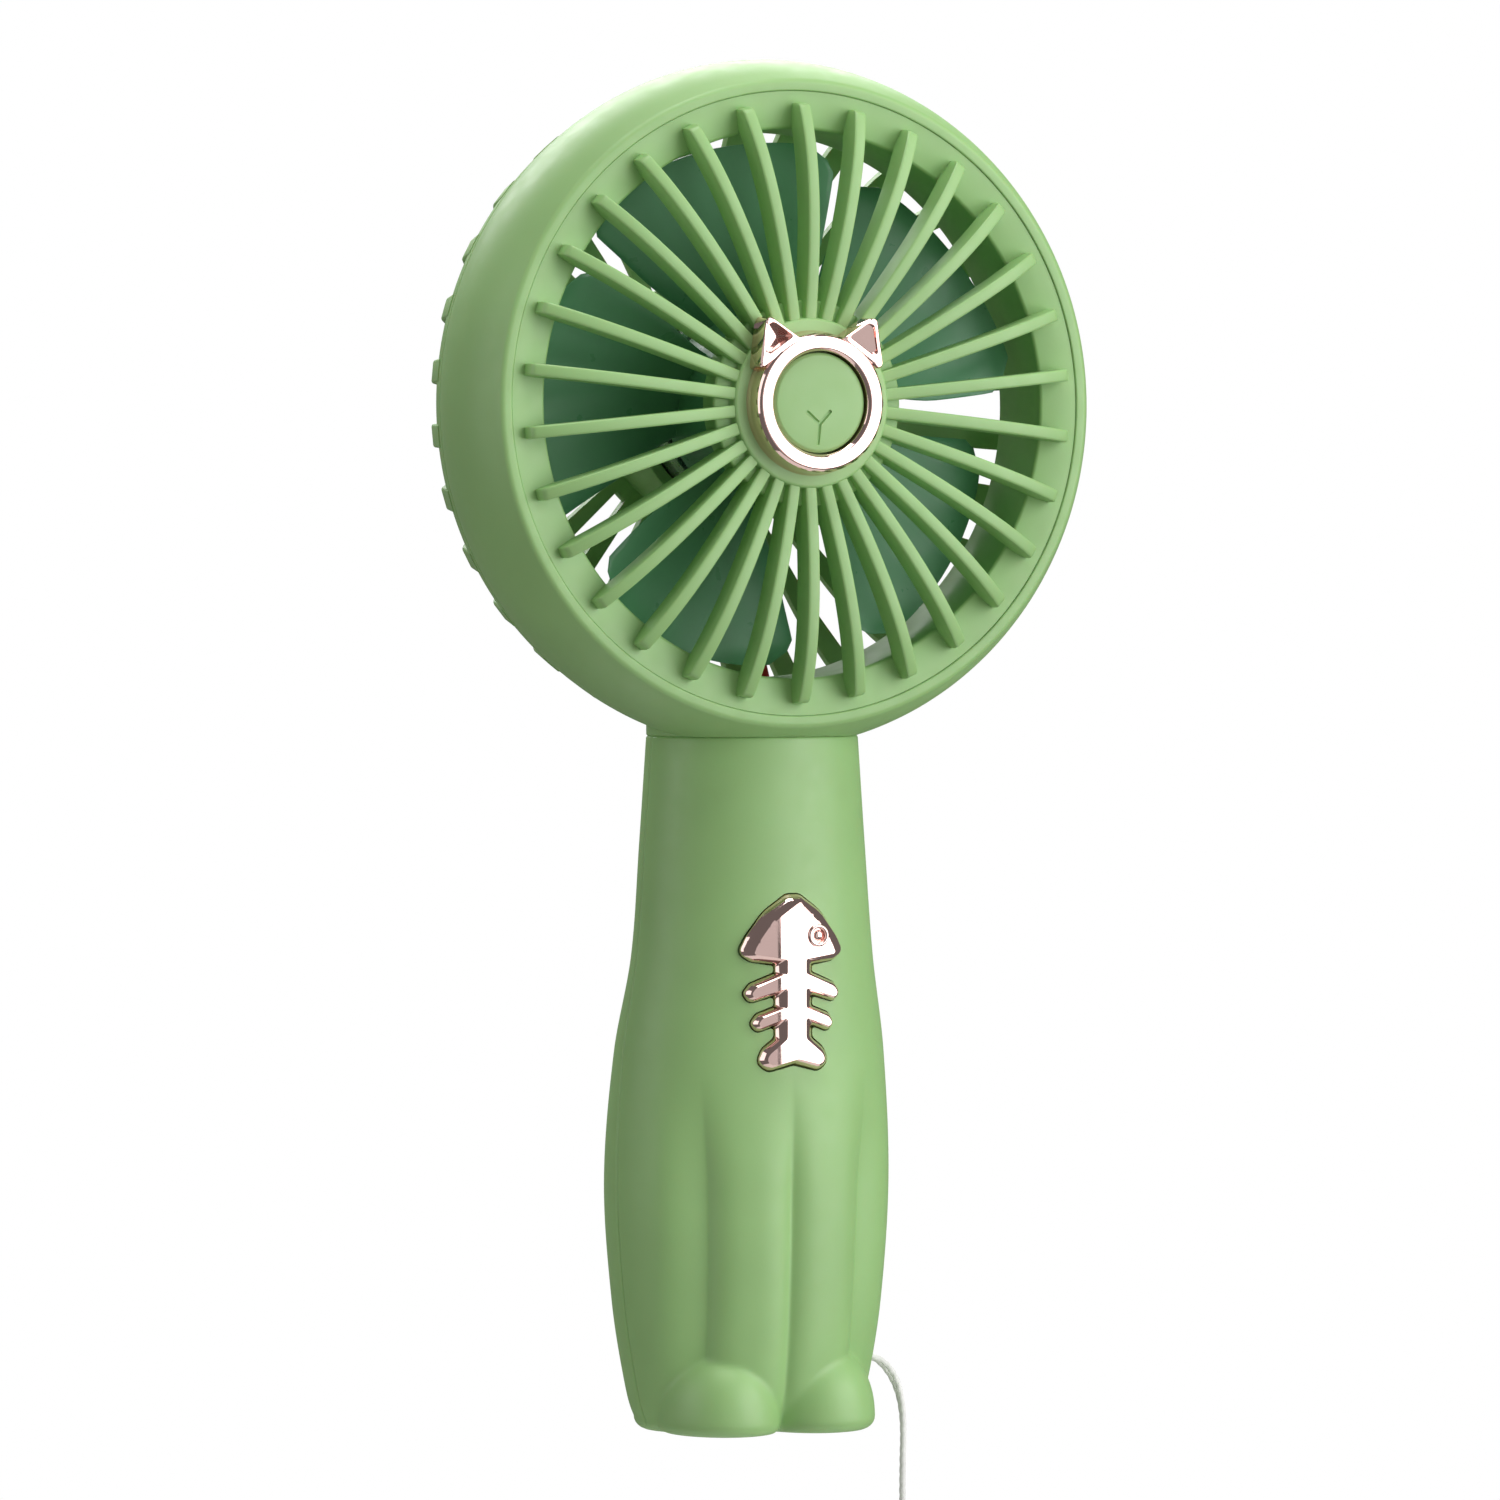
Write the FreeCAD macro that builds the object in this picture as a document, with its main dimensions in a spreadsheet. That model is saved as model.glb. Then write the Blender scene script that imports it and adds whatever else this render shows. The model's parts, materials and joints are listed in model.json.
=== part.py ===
"""Handheld electric fan with a cat-eared hub ring, a fish-shaped power button and a wrist strap.

Millimetres. The origin lies on the handle's axis in the middle of the grip. +Z runs up through
the neck to the fan head, and the fan blows towards -Y. Each sub-part is written to parts/.
"""
import FreeCAD, Part
import math
import os
import re
import Sketcher

Vector = FreeCAD.Vector

SIZE = {
    # handle: outer stations from the sole up to the neck seam
    "foot_level": -43.0, "foot_width": 13.2, "foot_depth": 9.6,
    "sole_level": -41.4, "sole_width": 14.7, "sole_depth": 11.1,
    "ankle_level": -37.0, "ankle_width": 15.9, "ankle_depth": 12.4,
    "calf_level": -27.0, "calf_width": 17.5, "calf_depth": 13.6,
    "hip_level": -12.0, "hip_width": 18.5, "hip_depth": 14.2,
    "waist_level": 4.0, "waist_width": 17.6, "waist_depth": 12.9,
    "chest_level": 16.0, "chest_width": 15.7, "chest_depth": 11.9,
    "shoulder_level": 30.0, "shoulder_width": 14.6, "shoulder_depth": 11.4,
    "neck_level": 43.4, "neck_width": 13.6, "neck_depth": 11.2,
    "low_set_back": 1.3, "mid_set_back": 0.6, "top_set_back": -0.3,
    "wall": 1.8, "front_relief": 0.95, "floor_wall": 1.8,
    "leg_groove_y": -13.2, "leg_groove_level": -26.0, "leg_groove_reach": 32.0,
    "leg_groove_half": 1.5, "leg_groove_deep": 2.3,
    "flank_groove_x": 11.6, "flank_groove_y": -10.6,
    "paw_x": 6.7, "paw_y": -4.2, "paw_level": -42.0,
    "paw_half": 7.2, "paw_reach": 8.6, "paw_rise": 8.8,
    # cutting tools: how far they run past one face, and past the whole fan
    "past": 1.0, "beyond": 60.0,
    # head: everything turns about the Y axis through the head centre
    "head_level": 84.5, "front_y": -13.9, "lip_radius": 38.5, "lip_crown": 39.5,
    "lip_round": 0.9, "shoulder_radius": 40.3, "bulge_y": -4.0, "seam_radius": 41.9,
    "seam_y": 0.5, "barrel_arc": 15.5, "bore_radius": 39.9, "bore_bulge": 40.6,
    "bore_front": -8.6, "ledge_radius": 36.6, "ledge_outer": 38.9, "ledge_front": -12.0,
    "ledge_rear": -10.9, "neck_stub": 5.0, "tenon_drop": 8.0, "tenon_gap": 0.9,
    "tenon_wall": 1.7, "cover_gap": 0.15, "post_start": 8.4, "post_long": 14.0,
    "post_radius": 2.2, "post_bore_start": 11.3, "post_bore_long": 10.0,
    # front grille
    "grille_radius": 38.3, "funnel_y": -13.7, "throat_radius": 33.8, "throat_front": -12.9,
    "throat_rear": -1.7, "throat_wall": 1.1, "rib_width": 1.4, "rib_end_radius": 37.3,
    "rib_end_y": -13.0, "rib_root_y": -16.8, "rib_arch": 48.0, "rib_back_root": -14.0,
    "rib_back_end": -12.6, "hub_radius": 10.5, "hub_front": -17.6, "web_radius": 12.7,
    "web_front": -16.7, "hub_back": -15.4, "web_back": -13.0, "rib_bite": 0.5,
    "rib_foot": 0.3,
    # hub ring and its centre disc
    "ring_outer": 8.6, "ring_inner": 6.35, "ring_front": -20.5, "disc_radius": 6.2,
    "disc_front": -19.5, "ear_tip_x": 7.45, "ear_tip_z": 11.0, "ear_foot_x": 8.7,
    "ear_foot_z": 4.1, "ear_root_x": 3.4, "ear_root_z": 8.5, "ear_bite": 0.9,
    "disc_crown": 0.2, "disc_round": 0.6,
    # rear cover
    "spigot_radius": 39.7, "spigot_inner": 38.5, "spigot_front": -2.0, "rim_radius": 41.3,
    "rim_y": 3.0, "brow_radius": 40.1, "brow_y": 7.0, "crown_radius": 37.2, "crown_y": 11.5,
    "dome_radius": 30.0, "dome_y": 14.5, "rear_y": 16.5, "cover_wall": 1.6,
    "slot_start": 15.5, "slot_end": 44.0, "slot_root_half": 0.78, "slot_end_half": 2.75,
    "slot_floor": 3.6, "inner_crown_radius": 35.9, "inner_crown_y": 10.4, "inner_brow_y": 6.4,
    "socket_inner": 12.35, "socket_outer": 13.9, "socket_front": 5.0, "neck_cut_level": 52.5,
    "lead_gap_half": 6.0, "lead_gap_front": 8.0, "lead_gap_level": 73.65, "lead_gap_deep": 5.0,
    # impeller and motor
    "impeller_hub": 11.6, "impeller_front": -11.8, "impeller_skin": 1.3, "impeller_rear": 0.4,
    "impeller_boss": 3.0, "impeller_tip": 32.4, "blade_front": -8.9, "blade_rear": 0.0,
    "shaft_radius": 1.0, "shaft_front": -10.9, "shaft_rear": 14.1, "running_gap": 0.03,
    "can_radius": 12.2, "can_front": 1.8, "can_rear": 13.0, "can_wall": 0.8,
    "cap_rear": 14.2, "bush_radius": 2.5, "magnet_inner": 9.0, "magnet_front": 3.2,
    "magnet_rear": 11.2, "core_radius": 8.5, "core_front": 4.0, "core_rear": 10.0,
    "commutator_radius": 2.6, "blade_half_thick": 0.55, "blade_margin": 0.7,
    "boss_long": 5.0, "pole_half_gap": 0.6, "pole_root": 2.6, "pole_neck": 5.4,
    "pole_spread": 4.6, "pole_shoe": 7.2, "magnet_half_gap": 2.5, "coil_start": 3.2,
    "coil_long": 2.3, "coil_high": 4.8, "coil_thick": 1.0, "coil_offset": 2.5,
    "brush_start": 2.75, "brush_long": 4.0, "brush_wide": 1.2, "brush_thick": 0.5,
    "brush_foot_long": 0.6, "brush_foot_wide": 1.65, "terminal_x": 3.0, "terminal_wide": 2.0,
    "terminal_thick": 0.5, "terminal_long": 3.0, "terminal_level": -14.6,
    "motor_screw_x": 8.0, "motor_screw_radius": 0.8, "motor_screw_long": 3.4,
    "motor_head_radius": 1.6, "motor_head_thick": 0.9,
    # fish-shaped button and its switch
    "fish_front": -13.4, "fish_back": -11.2, "pocket_floor": -10.5, "fish_gap": 0.35,
    "stem_level": 18.0, "stem_radius": 1.5, "stem_hole": 1.9, "stem_end": -7.65,
    "plunger_radius": 1.1, "plunger_front": -7.6, "plunger_rear": -6.5,
    "plunger_gap": 0.3, "switch_half": 2.6, "switch_front": -7.1, "recess_reach": 8.0,
    # board, socket and cell
    "board_half": 5.4, "board_front": -5.5, "board_rear": -4.5, "board_low": -39.4,
    "board_top": 23.0, "usb_half": 4.47, "usb_thick": 3.2, "usb_low": -42.7,
    "usb_high": -35.4, "usb_wall": 0.3, "usb_back": 0.8, "port_gap": 0.25,
    "tongue_inset": 1.0, "tongue_half": 0.35, "chip_half": 2.5, "chip_thick": 1.3,
    "chip_low": 4.0, "chip_high": 8.0, "choke_half": 2.0, "choke_thick": 1.6,
    "choke_low": -12.0, "choke_high": -8.0, "capacitor_long": 1.6, "capacitor_thick": 0.9,
    "cell_radius": 7.1, "cell_y": 2.8, "cell_low": -34.0, "cell_long": 43.0,
    "pad_half": 4.5, "pad_gap": 0.05, "pad_rear": 12.6, "pad_low": -26.0, "pad_high": -4.0,
    # fasteners and strap
    "screw_x": 10.2, "screw_low": -37.0, "screw_high": 38.8, "screw_radius": 0.95,
    "screw_head": 1.9, "screw_head_thick": 1.2, "low_screw_long": 9.5, "high_screw_long": 8.0,
    "low_seat": 5.5, "high_seat": 9.3, "seat_gap": 0.3, "passage_gap": 0.15,
    "boss_radius": 2.8, "front_boss_radius": 2.3, "boss_reach": 14.0,
    "strap_hole_level": -34.8, "strap_hole_y": 2.7, "strap_pitch": 1.8, "strap_hole": 0.8,
    "strap_slot_inner": 12.7, "strap_pin_x": 13.0, "strap_pin_radius": 0.5,
    "strap_pin_front": 1.7, "strap_pin_rear": 5.2, "strand_thick": 0.8, "wrist_thick": 2.2,
    "crimp_x": 22.8, "crimp_y": 3.35, "crimp_top": -60.0, "crimp_long": 7.0,
    "crimp_radius": 2.6, "crimp_round": 0.8,
}

RIBS = 30
SLOTS = 32
POLES = 3
BLADES = 5
BLADE_PITCH = {"root": 30.0, "tip": 12.0}
BLADE_CAMBER = 0.05
BLADE_PHASE = 0.58
CAPACITORS = ((-4.2, 6.0), (2.9, 6.5), (-4.2, -7.0), (2.9, -11.0), (-0.8, -20.0))
UP = Vector(0, 0, 1)
REARWARD = Vector(0, 1, 0)

doc = FreeCAD.newDocument("HandFan")
sheet = doc.addObject("Spreadsheet::Sheet", "Sizes")
for row, (alias, number) in enumerate(SIZE.items(), start=1):
    sheet.set("A%d" % row, alias)
    sheet.set("B%d" % row, str(number))
    sheet.setAlias("B%d" % row, alias)
doc.recompute()


# ---------------------------------------------------------------- helpers

def amount(text):
    """The value of a sum of cells and numbers, such as 'hub_radius - wall/2'."""
    total = 0.0
    for sign, name, divisor in re.findall(r"([-+]?)\s*([a-z_]+|[\d.]+)(?:\s*/\s*([\d.]+))?", text):
        term = sheet.get(name) if name[0].isalpha() else float(name)
        term = term / float(divisor) if divisor else term
        total += -term if sign == "-" else term
    return total


def bind(thing, prop, text):
    """Bind a property of a document object to a sum of spreadsheet cells."""
    thing.setExpression(prop, re.sub(r"[a-z_]+", r"Sizes.\g<0>", text))


def new_body(name, level=None):
    """A body, raised along Z to a spreadsheet level."""
    body = doc.addObject("PartDesign::Body", name)
    body.Label = name
    if level:
        bind(body, "Placement.Base.z", level)
    return body


def origin_feature(body, role):
    return [item for item in body.Origin.OriginFeatures if item.Role == role][0]


def new_sketch(body, plane, offset=None):
    """A sketch on an origin plane; offset runs along the sketch's own normal."""
    sketch = body.newObject("Sketcher::SketchObject", body.Label + "_sketch")
    sketch.AttachmentSupport = [(origin_feature(body, plane), "")]
    sketch.MapMode = "FlatFace"
    if offset:
        bind(sketch, "AttachmentOffset.Base.z", offset)
    return sketch


def arc_between(start, end, radius):
    """The short arc from start to end that bulges to the right of the way from start to end."""
    chord = end - start
    rise = math.sqrt(radius ** 2 - chord.Length ** 2 / 4.0)
    left = Vector(-chord.y, chord.x, 0) / chord.Length
    centre = (start + end) * 0.5 + left * rise
    first = math.atan2(start.y - centre.y, start.x - centre.x)
    last = math.atan2(end.y - centre.y, end.x - centre.x)
    return Part.ArcOfCircle(Part.Circle(centre, Vector(0, 0, 1), radius), first, last)


def outline(sketch, corners):
    """A closed outline through corners given as texts, each corner bound to the spreadsheet.

    A third text on a corner makes the edge that leaves it an arc of that radius, bulging to the
    right of the way round.
    """
    points = [Vector(amount(corner[0]), amount(corner[1]), 0) for corner in corners]
    total = len(points)
    first = sketch.GeometryCount
    for index, corner in enumerate(corners):
        start = points[index]
        end = points[(index + 1) % total]
        if len(corner) == 3:
            sketch.addGeometry(arc_between(start, end, amount(corner[2])), False)
        else:
            sketch.addGeometry(Part.LineSegment(start, end), False)
    for index in range(total):
        following = first + (index + 1) % total
        sketch.addConstraint(Sketcher.Constraint("Coincident", first + index, 2, following, 1))
    for index, corner in enumerate(corners):
        for kind, text, value in (("DistanceX", corner[0], points[index].x),
                                  ("DistanceY", corner[1], points[index].y)):
            rule = sketch.addConstraint(Sketcher.Constraint(kind, -1, 1, first + index, 1, value))
            bind(sketch, "Constraints[%d]" % rule, text)
        if len(corner) == 3:
            rule = sketch.addConstraint(
                Sketcher.Constraint("Radius", first + index, amount(corner[2])))
            bind(sketch, "Constraints[%d]" % rule, corner[2])
    return sketch


def circle(sketch, centre_x, centre_y, radius):
    """A circle whose centre and radius are bound to the spreadsheet."""
    centre = Vector(amount(centre_x), amount(centre_y), 0)
    index = sketch.addGeometry(Part.Circle(centre, Vector(0, 0, 1), amount(radius)), False)
    for kind, text, value in (("DistanceX", centre_x, centre.x), ("DistanceY", centre_y, centre.y)):
        rule = sketch.addConstraint(Sketcher.Constraint(kind, -1, 1, index, 3, value))
        bind(sketch, "Constraints[%d]" % rule, text)
    rule = sketch.addConstraint(Sketcher.Constraint("Radius", index, amount(radius)))
    bind(sketch, "Constraints[%d]" % rule, radius)
    return sketch


def rectangle(sketch, low_x, low_y, high_x, high_y):
    return outline(sketch, [(low_x, low_y), (high_x, low_y), (high_x, high_y), (low_x, high_y)])


def turn(body, corners, cut=False):
    """Turn a (radius, y) outline about the Y axis, to add or to cut."""
    sketch = outline(new_sketch(body, "XY_Plane"), corners)
    kind = "PartDesign::Groove" if cut else "PartDesign::Revolution"
    feature = body.newObject(kind, body.Label + ("_groove" if cut else "_turn"))
    feature.Profile = sketch
    feature.ReferenceAxis = (sketch, ["V_Axis"])
    feature.Angle = 360
    return feature


def pad(body, sketch, length, midplane=False, flip=False):
    feature = body.newObject("PartDesign::Pad", body.Label + "_pad")
    feature.Profile = sketch
    bind(feature, "Length", length)
    feature.SideType = "Symmetric" if midplane else "One side"
    feature.Reversed = flip
    return feature


def pocket(body, sketch, length=None, flip=False):
    """Cut a sketch to a depth, or right through where no depth is given."""
    before = body.Shape.Volume
    feature = body.newObject("PartDesign::Pocket", body.Label + "_pocket")
    feature.Profile = sketch
    feature.Reversed = flip
    if length:
        bind(feature, "Length", length)
    else:
        feature.Type = "ThroughAll"
    doc.recompute()
    if body.Shape.Volume > before - 0.01:
        raise RuntimeError(body.Label + ": a pocket cuts nothing")
    return feature


def around(body, feature, count):
    """Repeat a feature about the Y axis."""
    pattern = body.newObject("PartDesign::PolarPattern", body.Label + "_pattern")
    pattern.Originals = [feature]
    pattern.Axis = (origin_feature(body, "Y_Axis"), [""])
    pattern.Angle = 360
    pattern.Occurrences = count
    body.Tip = pattern
    doc.recompute()
    return pattern


def lathe(name, corners):
    """A body turned about the head's axis from a (radius, y) outline."""
    body = new_body(name, "head_level")
    turn(body, corners)
    return body


def tube_of_rings(name, inner, outer, front, rear):
    """A plain ring or collar on the head's axis."""
    return lathe(name, [(inner, front), (outer, front), (outer, rear), (inner, rear)])


def primitive(kind, name, **texts):
    """A Part primitive; x, y and z place it, the rest name its own properties."""
    thing = doc.addObject("Part::" + kind, name)
    for prop, text in texts.items():
        bind(thing, "Placement.Base." + prop if prop in "xyz" else prop, text)
    return thing


def block(name, low, high):
    """A box between two corners given as texts."""
    lengths = ["%s - (%s)" % (end, start) for start, end in zip(low, high)]
    return primitive("Box", name, x=low[0], y=low[1], z=low[2],
                     Length=lengths[0], Width=lengths[1], Height=lengths[2])


def rod_along_y(name, x, z, low_y, high_y, radius):
    """A cylinder along +Y."""
    rod = doc.addObject("Part::Cylinder", name)
    rod.Placement.Rotation = FreeCAD.Rotation(Vector(1, 0, 0), -90)
    bind(rod, "Radius", radius)
    bind(rod, "Height", "%s - (%s)" % (high_y, low_y))
    for prop, text in (("x", x), ("y", low_y), ("z", z)):
        bind(rod, "Placement.Base." + prop, text)
    return rod


def fuse(name, *things):
    result = doc.addObject("Part::MultiFuse", name)
    result.Shapes = list(things)
    result.Label = name
    return result


def cut(name, base, *tools):
    tool = tools[0] if len(tools) == 1 else fuse(name + "_tools", *tools)
    result = doc.addObject("Part::Cut", name)
    result.Base = base
    result.Tool = tool
    result.Label = name
    return result


def common(name, base, tool):
    result = doc.addObject("Part::Common", name)
    result.Base = base
    result.Tool = tool
    result.Label = name
    return result


def solid(name, shape):
    """A sub-part whose shape is worked out here from the spreadsheet's values."""
    thing = doc.addObject("Part::Feature", name)
    thing.Label = name
    thing.Shape = shape
    return thing


def route_wire(points):
    """Straight runs joined by tangent arcs, each as large as its two runs allow."""
    corners = [Vector(*point) for point in points]
    edges = []
    start = corners[0]
    radii = []
    for before, corner, after in zip(corners, corners[1:], corners[2:]):
        shorter = min((corner - before).Length, (after - corner).Length)
        way_in = (corner - before).normalize()
        way_out = (after - corner).normalize()
        half_turn = way_in.getAngle(way_out) / 2.0
        setback = 0.45 * shorter
        radius = setback / math.tan(half_turn)
        radii.append(round(radius, 1))
        bisector = (way_out - way_in).normalize()
        middle = corner + bisector * (radius / math.cos(half_turn) - radius)
        arc_start = corner - way_in * setback
        arc_end = corner + way_out * setback
        edges.append(Part.LineSegment(start, arc_start).toShape())
        edges.append(Part.Arc(arc_start, middle, arc_end).toShape())
        start = arc_end
    edges.append(Part.LineSegment(start, corners[-1]).toShape())
    return Part.Wire(edges), radii


def cord(name, points, thick):
    """A round cord or lead along a route, checked against its section times its length."""
    wire, radii = route_wire(points)
    way = Vector(*points[1]) - Vector(*points[0])
    section = Part.Wire(Part.Circle(Vector(*points[0]), way, thick / 2.0).toShape())
    shape = wire.makePipeShell([section], True, False)
    expected = math.pi * thick ** 2 / 4.0 * wire.Length
    print("%s: length %.1f, smallest radius %.1f, volume off by %.2f%%"
          % (name, wire.Length, min(radii), 100.0 * (shape.Volume / expected - 1.0)))
    return solid(name, shape)


# ---------------------------------------------------------------- handle

STATIONS = ["foot", "sole", "ankle", "calf", "hip", "waist", "chest", "shoulder", "neck"]
SET_BACK = dict.fromkeys(["foot", "sole", "ankle", "calf", "hip"], "low_set_back")
SET_BACK.update(waist="mid_set_back", chest="top_set_back", shoulder="top_set_back",
                neck="top_set_back")


def handle_form(name, inset="", shift="", stations=STATIONS, floor=None):
    """The handle's form lofted through upright ovals; inset and shift make the hollow."""
    ovals = []
    for station in stations:
        level = floor if floor and station == stations[0] else station + "_level"
        ovals.append(primitive(
            "Ellipse", "%s_%s" % (name, station), z=level, y=SET_BACK[station] + shift,
            MajorRadius="%s_width%s" % (station, inset),
            MinorRadius="%s_depth%s%s" % (station, inset, shift.replace("+", "-"))))
    loft = doc.addObject("Part::Loft", name)
    loft.Sections = ovals
    loft.Solid = True
    return loft


def leg_groove(name, x, y, half):
    """A long shallow valley that fades out upwards: centre line and outer edges of the legs."""
    valley = doc.addObject("Part::Ellipsoid", name)
    valley.Angle1 = -90
    valley.Angle2 = 90
    bind(valley, "Radius1", "leg_groove_reach")
    bind(valley, "Radius2", half)
    bind(valley, "Radius3", "leg_groove_deep")
    bind(valley, "Placement.Base.x", x)
    bind(valley, "Placement.Base.y", y)
    bind(valley, "Placement.Base.z", "leg_groove_level")
    return valley


def paw(name, x):
    bulge = doc.addObject("Part::Ellipsoid", name)
    bulge.Angle1 = -90
    bulge.Angle2 = 90
    bind(bulge, "Radius1", "paw_rise")
    bind(bulge, "Radius2", "paw_half")
    bind(bulge, "Radius3", "paw_reach")
    bind(bulge, "Placement.Base.x", x)
    bind(bulge, "Placement.Base.y", "paw_y")
    bind(bulge, "Placement.Base.z", "paw_level")
    return bulge


# The right half of the fish's outline, as (x, z): head, two ribs and the tail up to its notch.
FISH_HEAD = [(0.9, 23.9), (3.6, 21.6), (5.6, 18.9), (6.5, 17.2), (6.0, 16.2), (2.2, 15.4)]
FISH_LONG_RIB = [(2.2, 14.0), (5.3, 12.7), (6.0, 11.7), (5.4, 10.8), (2.2, 11.6)]
FISH_SHORT_RIB = [(2.2, 9.9), (4.5, 8.9), (5.1, 8.0), (4.5, 7.1), (2.2, 7.9)]
FISH_TAIL = [(2.2, 6.1), (3.7, 4.6), (4.3, 3.2), (3.3, 2.2)]
FISH_NOTCH = (0.0, 2.8)


def fish_face(grow):
    """The whole fish outline as a face in the XZ plane, grown outwards by a clearance."""
    right = FISH_HEAD + FISH_LONG_RIB + FISH_SHORT_RIB + FISH_TAIL
    ring = right + [FISH_NOTCH] + [(-x, z) for x, z in reversed(right)]
    points = [Vector(x, 0, z) for x, z in ring]
    face = Part.Face(Part.makePolygon(points + [points[0]]))
    return face.makeOffset2D(grow) if grow else face


def make_handle():
    """Front and rear halves of the handle, cut from one hollow skin."""
    hollow = handle_form("handle_hollow", inset=" - wall", shift=" + front_relief",
                         stations=STATIONS[1:], floor="foot_level + floor_wall")
    legs = cut("handle_legs", handle_form("handle_outer"),
               leg_groove("groove_middle", "0", "leg_groove_y", "leg_groove_half"),
               leg_groove("groove_left", "-flank_groove_x", "flank_groove_y", "leg_groove_half"),
               leg_groove("groove_right", "flank_groove_x", "flank_groove_y", "leg_groove_half"))
    below = block("below_foot", ("-beyond", "-beyond", "-beyond"),
                  ("beyond", "beyond", "foot_level"))
    paws = cut("paws", fuse("paw_pair", paw("paw_left", "-paw_x"), paw("paw_right", "paw_x")),
               below)
    skin = cut("handle_skin", fuse("handle_with_paws", legs, paws), hollow)
    make_handle_front(skin)
    make_handle_rear(skin)


def both_sides(name, low_y, high_y, radius):
    """A rod along Y at each of the two low screws."""
    return [rod_along_y("%s_%d" % (name, side), "%sscrew_x" % sign, "screw_low", low_y, high_y,
                        radius)
            for side, sign in enumerate(("-", ""))]


def make_handle_front(skin):
    """The front half with its screw bosses, the fish's recess, the stem hole and the port."""
    front_side = block("front_side", ("-beyond", "-beyond", "-beyond"), ("beyond", "0", "beyond"))
    bosses = fuse("front_boss_pair",
                  *both_sides("front_boss", "-boss_reach", "0", "front_boss_radius"))
    front = fuse("front_with_bosses", common("front_half", skin, front_side),
                 common("front_bosses", handle_form("front_boss_room"), bosses))
    pilots = both_sides("pilot", "low_seat - low_screw_long", "past", "screw_radius")
    reach = amount("recess_reach")
    recess = solid("fish_recess", fish_face(amount("fish_gap")).extrude(Vector(0, reach, 0)))
    recess.Placement.Base = Vector(0, amount("pocket_floor") - reach, 0)
    stem_hole = rod_along_y("stem_hole_tool", "0", "stem_level", "pocket_floor - past",
                            "pocket_floor + recess_reach", "stem_hole")
    port = block("usb_port_tool",
                 ("-usb_half - port_gap", "board_rear - port_gap", "foot_level - past"),
                 ("usb_half + port_gap", "board_rear + usb_thick + port_gap",
                  "foot_level + floor_wall + past"))
    cut("handle_front", front, *(pilots + [recess, stem_hole, port]))


def make_handle_rear(skin):
    """The rear half with its screw bosses, seats and passages, and the slot for the strap."""
    rear_side = block("rear_side", ("-beyond", "0", "-beyond"), ("beyond", "beyond", "beyond"))
    bosses = fuse("rear_boss_pair", *both_sides("rear_boss", "0", "boss_reach", "boss_radius"))
    rear = fuse("rear_with_bosses", common("rear_half", skin, rear_side),
                common("rear_bosses", handle_form("rear_boss_room"), bosses))
    passages = both_sides("passage", "-past", "low_seat", "screw_radius + passage_gap")
    passages.append(rod_along_y("passage_top", "0", "screw_high", "0", "high_seat",
                                "screw_radius + passage_gap"))
    seats = both_sides("seat", "low_seat", "beyond", "screw_head + seat_gap")
    seats.append(rod_along_y("seat_top", "0", "screw_high", "high_seat", "beyond",
                             "screw_head + seat_gap"))
    strap_slot = block("strap_slot",
                       ("strap_slot_inner", "strap_hole_y - strap_hole",
                        "strap_hole_level - strap_hole"),
                       ("beyond", "strap_hole_y + strap_pitch + strap_hole",
                        "strap_hole_level + strap_hole"))
    cut("handle_rear", cut("rear_bored", rear, *(passages + seats)), strap_slot)


# ---------------------------------------------------------------- head

def ellipse_sketch(body, level, width, depth, set_back):
    """An upright oval on a level of the body's own frame."""
    sketch = new_sketch(body, "XY_Plane", level)
    centre = Vector(0, amount(set_back), 0)
    major = centre + Vector(amount(width), 0, 0)
    minor = centre + Vector(0, amount(depth), 0)
    index = sketch.addGeometry(Part.Ellipse(major, minor, centre), False)
    sketch.exposeInternalGeometry(index)
    for kind, text, value, geometry, position in (
            ("DistanceX", "0", 0.0, index, 3), ("DistanceY", set_back, centre.y, index, 3)):
        rule = sketch.addConstraint(
            Sketcher.Constraint(kind, -1, 1, geometry, position, value))
        bind(sketch, "Constraints[%d]" % rule, text)
    for line, text in ((index + 1, width + "*2"), (index + 2, depth + "*2")):
        length = 2.0 * amount(text.replace("*2", ""))
        rule = sketch.addConstraint(Sketcher.Constraint("Distance", line, length))
        bind(sketch, "Constraints[%d]" % rule, "(%s) * 2" % text.replace("*2", ""))
    sketch.addConstraint(Sketcher.Constraint("Horizontal", index + 1))
    return sketch


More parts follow.
